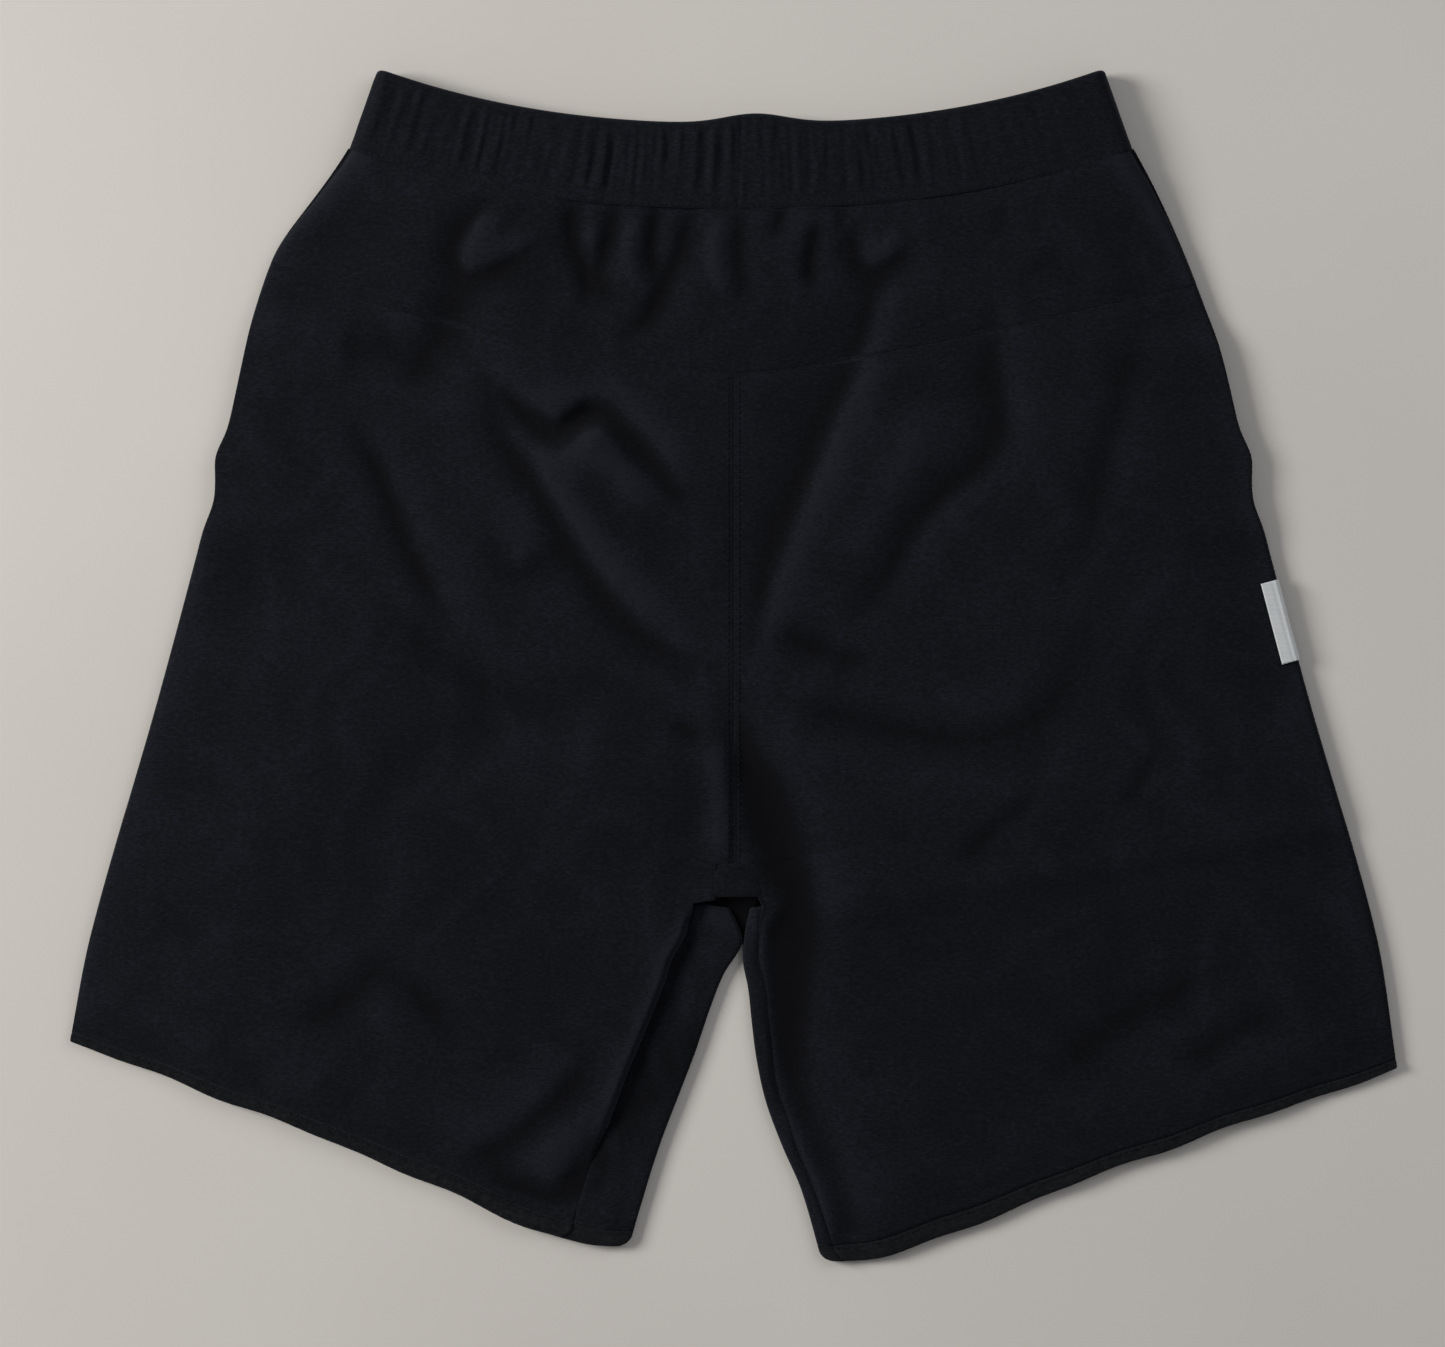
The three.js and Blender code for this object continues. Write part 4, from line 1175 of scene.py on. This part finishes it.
def flag_label():
    """A folded tab on the right side seam, lying on the roll of the back panel."""
    joint = frame["record"]["behaviour"]["joints"][0]
    pivot = np.array(joint["pos_m"]) * 1000
    along = -np.array(joint["axis"])
    out = np.cross(along, [0, 0, 1])
    steps = 14
    turn = np.linspace(0, math.pi, 9)[1:-1]
    away = np.linspace(0, FLAG_REACH, steps)
    u = np.concatenate([away, FLAG_REACH + 0.55 * np.sin(turn), away[::-1]])
    layer = FLAG_PLY * np.concatenate([np.full(steps, -1.0), -np.cos(turn), np.full(steps, 1.0)])
    fold = np.exp(-(((u - 8.6) / 0.9) ** 2)) * np.sign(layer) * 0.28
    outer, inner = [], []
    for k in np.linspace(-FLAG_HALF, FLAG_HALF, 61):
        lean = 1 - 0.03 * (k + FLAG_HALF) / FLAG_HALF if k < 0 else 0.97
        plan = pivot + along * k + out * (u[:, None] * lean)
        rest = back_height(LEGS["right"], plan[:, 0], plan[:, 1]) + 1.1
        level = np.maximum(np.interp(u, [0, 9.5], [rest[0], rest[steps - 1]]), rest)
        # a soft crease runs beside its folded end
        level = level + 0.5 * np.exp(-(((u - 7.6) / 0.9) ** 2))
        level = level - 0.25 * np.exp(-(((u - 5.9) / 0.8) ** 2))
        curl = 0.25 * math.sin(k / 9.0)
        outer.append(np.column_stack([plan[:, :2], level + layer + fold + curl]))
        inner.append(np.column_stack([plan[:, :2], level + layer * 0.25 + fold * 0.3 + curl]))
    outer, inner = np.array(outer), np.array(inner)
    return cloth_sheet("flag_label_of_tape", outer, TAPE, inner=inner)


def flat_label(name, solid, width, height):
    """An inner label, which lies in the middle of its solid's box."""
    low, high = (np.array(corner) * 1000 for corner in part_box(solid))
    centre = (low + high) / 2
    x, y = np.meshgrid(np.linspace(-width / 2, width / 2, 25), np.linspace(height / 2, -height / 2, 25))
    z = centre[2] + 0.15 * np.sin(x / 4) * np.cos(y / 6)
    return cloth_sheet(name, np.stack([x + centre[0], y + centre[1], z], -1), TAPE, thick=0.45)


FLAG = flag_label()
SIZE = flat_label("size_label_of_tape", "size_label", 34, 24)
CARE = flat_label("care_label_of_tape", "care_label", 26, 42)
print("pocket plies and labels:", 2 * len(POCKETS) + 3)

# %% [markdown]
# ## Stitches
# A coverstitch is two level rows of short straight stitches. A stitch is the same shape every time,
# so Geometry Nodes set one along each seam line at an even pitch. The line itself lies on the cloth.


# %% One tree that sews along a line
STITCH = {"Pitch": 0.0028, "Stitch Length": 0.0022, "Thread Width": 0.00045}  # metres


def sewing_tree():
    tree = bpy.data.node_groups.new("sew_along_line", "GeometryNodeTree")
    face = tree.interface
    face.new_socket("Line", in_out="INPUT", socket_type="NodeSocketGeometry")
    for label, value in STITCH.items():
        face.new_socket(label, in_out="INPUT", socket_type="NodeSocketFloat").default_value = value
    face.new_socket("Thread", in_out="INPUT", socket_type="NodeSocketMaterial")
    face.new_socket("Stitches", in_out="OUTPUT", socket_type="NodeSocketGeometry")
    start = node(tree, "NodeGroupInput").outputs
    curve = node(tree, "GeometryNodeMeshToCurve", [("Mesh", start["Line"])])
    spots = [("Curve", curve), ("Length", start["Pitch"])]
    points = node(tree, "GeometryNodeResampleCurve", spots, mode="LENGTH")
    ball = node(tree, "GeometryNodeMeshUVSphere", Segments=6, Rings=4, Radius=0.5)
    width = start["Thread Width"]
    size = node(tree, "ShaderNodeCombineXYZ", [("X", start["Stitch Length"]), ("Y", width), ("Z", width)])
    tangent = node(tree, "GeometryNodeInputTangent")
    turn = node(tree, "FunctionNodeAlignRotationToVector", [("Vector", tangent)], axis="X")
    sewn = node(
        tree, "GeometryNodeInstanceOnPoints",
        [("Points", points), ("Instance", ball), ("Rotation", turn), ("Scale", size)],
    )
    real = node(tree, "GeometryNodeRealizeInstances", [("Geometry", sewn)])
    soft = node(tree, "GeometryNodeSetShadeSmooth", [("Geometry", real)])
    painted = node(tree, "GeometryNodeSetMaterial", [("Geometry", soft), ("Material", start["Thread"])])
    node(tree, "NodeGroupOutput", [("Stitches", painted)])
    return tree


SEW = sewing_tree()


def sew(name, lines):
    """Stitches along lines of (n, 3) points in millimetres, as one plain mesh."""
    vertices, edges = [], []
    for line in lines:
        first = len(vertices)
        vertices += (np.asarray(line) / 1000).tolist()
        edges += [(first + k, first + k + 1) for k in range(len(line) - 1)]
    mesh = bpy.data.meshes.new(name + "_line")
    mesh.from_pydata(vertices, edges, [])
    guide = bpy.data.objects.new(name + "_line", mesh)
    scene.collection.objects.link(guide)
    modifier = guide.modifiers.new("sew", "NODES")
    modifier.node_group = SEW
    inputs = {**STITCH, "Thread": THREAD}
    for item in SEW.interface.items_tree:
        if item.in_out == "INPUT" and item.name in inputs:
            modifier[item.identifier] = inputs[item.name]
    graph = bpy.context.evaluated_depsgraph_get()
    made = bpy.data.objects.new(name, bpy.data.meshes.new_from_object(guide.evaluated_get(graph)))
    scene.collection.objects.link(made)
    bpy.data.objects.remove(guide)
    print(name + ":", len(made.data.polygons), "faces")
    return made


# %% Lines of stitching
BAND_ROWS = (34.5, 39.8)  # below the band's upper edge


def band_line(back, depth):
    """A line round half the waistband, `depth` below its upper edge."""
    at, inward, down, run = casing_frames(back)
    push = gathers(run, np.full(len(run), depth), run[-1] / 2, back)
    lift = 0.1 if back else -0.3  # the table presses the front's thread into the cloth
    points = (at + down * depth - inward * (push + lift)[:, None])[10:-10]
    return place(points[:, 0], points[:, 1], points[:, 2])


def centre_back_line(side):
    y = np.linspace(TOP_Y - YOKE_CENTRE - 2, CROTCH_Y + GUSSET_LENGTH + 1.5, 200)
    x = np.full(200, side * 2.6)
    return place(x, y, either_height(x, y) + 0.15)


def hem_line(leg):
    v = np.full((1, 1), binding_top(leg) + 1.3 / rows_long(leg))
    columns = np.linspace(0.02, 0.985, 260)[None, :]
    x, y, z, _ = binding_point(leg, v, columns)
    return place(x, y, z + 0.12)[0]


STITCHES = [
    sew("coverstitch_of_waistband", [band_line(back, row) for back in (True, False) for row in BAND_ROWS]),
    sew("topstitch_of_centre_back", [centre_back_line(-1), centre_back_line(1)]),
    sew("stitches_of_hems", [hem_line(leg) for leg in LEGS.values()]),
]

# %% [markdown]
# ## Joining the pieces to the frame
# Each piece rides on the garment's body, and the flag label on its own. Every soft solid is stood
# for by its cloth, and every cloth says what size it was cut to.


# %% Ride, hidden solids, cloth sizes
def belongs(piece, nodes, body="garment"):
    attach(piece, body)
    if nodes:
        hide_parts(*nodes)


def area_of(piece):
    """Half of a closed sheet's surface, in square metres."""
    return sum(p.area for p in piece.data.polygons) / 2


def cut(piece, width, length, area=None):
    flat_area = width * length if area is None else area
    print(f"{piece.name}: {area_of(piece):.4f} of {flat_area:.4f} square metres")


belongs(YOKE, ["back_yoke"])
belongs(GUSSET, ["crotch_gusset"])
belongs(RING, ["waist_elastic"])
belongs(FLAG, ["side_label"], "side_label")
belongs(SIZE, ["size_label"])
belongs(CARE, ["care_label"])
for half, piece in BAND.items():
    belongs(piece, [f"waistband_{half}"])
for side in LEGS:
    belongs(BACK[side], [f"back_leg_{side}"])
    belongs(FRONT[side], [f"front_leg_{side}"])
    for layer in ("back", "front"):
        belongs(HEMS[layer, side], [f"hem_binding_{layer}_{side}"])
    for layer, piece in zip(("front", "back"), POCKETS[side]):
        belongs(piece, [f"pocket_{layer}_ply_{side}"])
for piece in STITCHES:
    belongs(piece, [])

cut(YOKE, 0.47, 0.115, 0.039)
for side in LEGS:
    cut(BACK[side], 0.33, 0.47, 0.108)
    cut(FRONT[side], 0.35, 0.53, 0.133)
    cut(HEMS["back", side], 0.27, 0.014, 0.0024)
    cut(HEMS["front", side], 0.32, 0.014, 0.0029)
    for piece in POCKETS[side]:
        cut(piece, 0.125, 0.206, 0.0235)
for half, piece in BAND.items():
    cut(piece, 0.39, 0.086)
cut(RING, 0.76, 0.038)
cut(GUSSET, 0.024, 0.066, 0.00135)
cut(FLAG, 0.02, 0.04)
cut(SIZE, 0.034, 0.024)
cut(CARE, 0.026, 0.042)
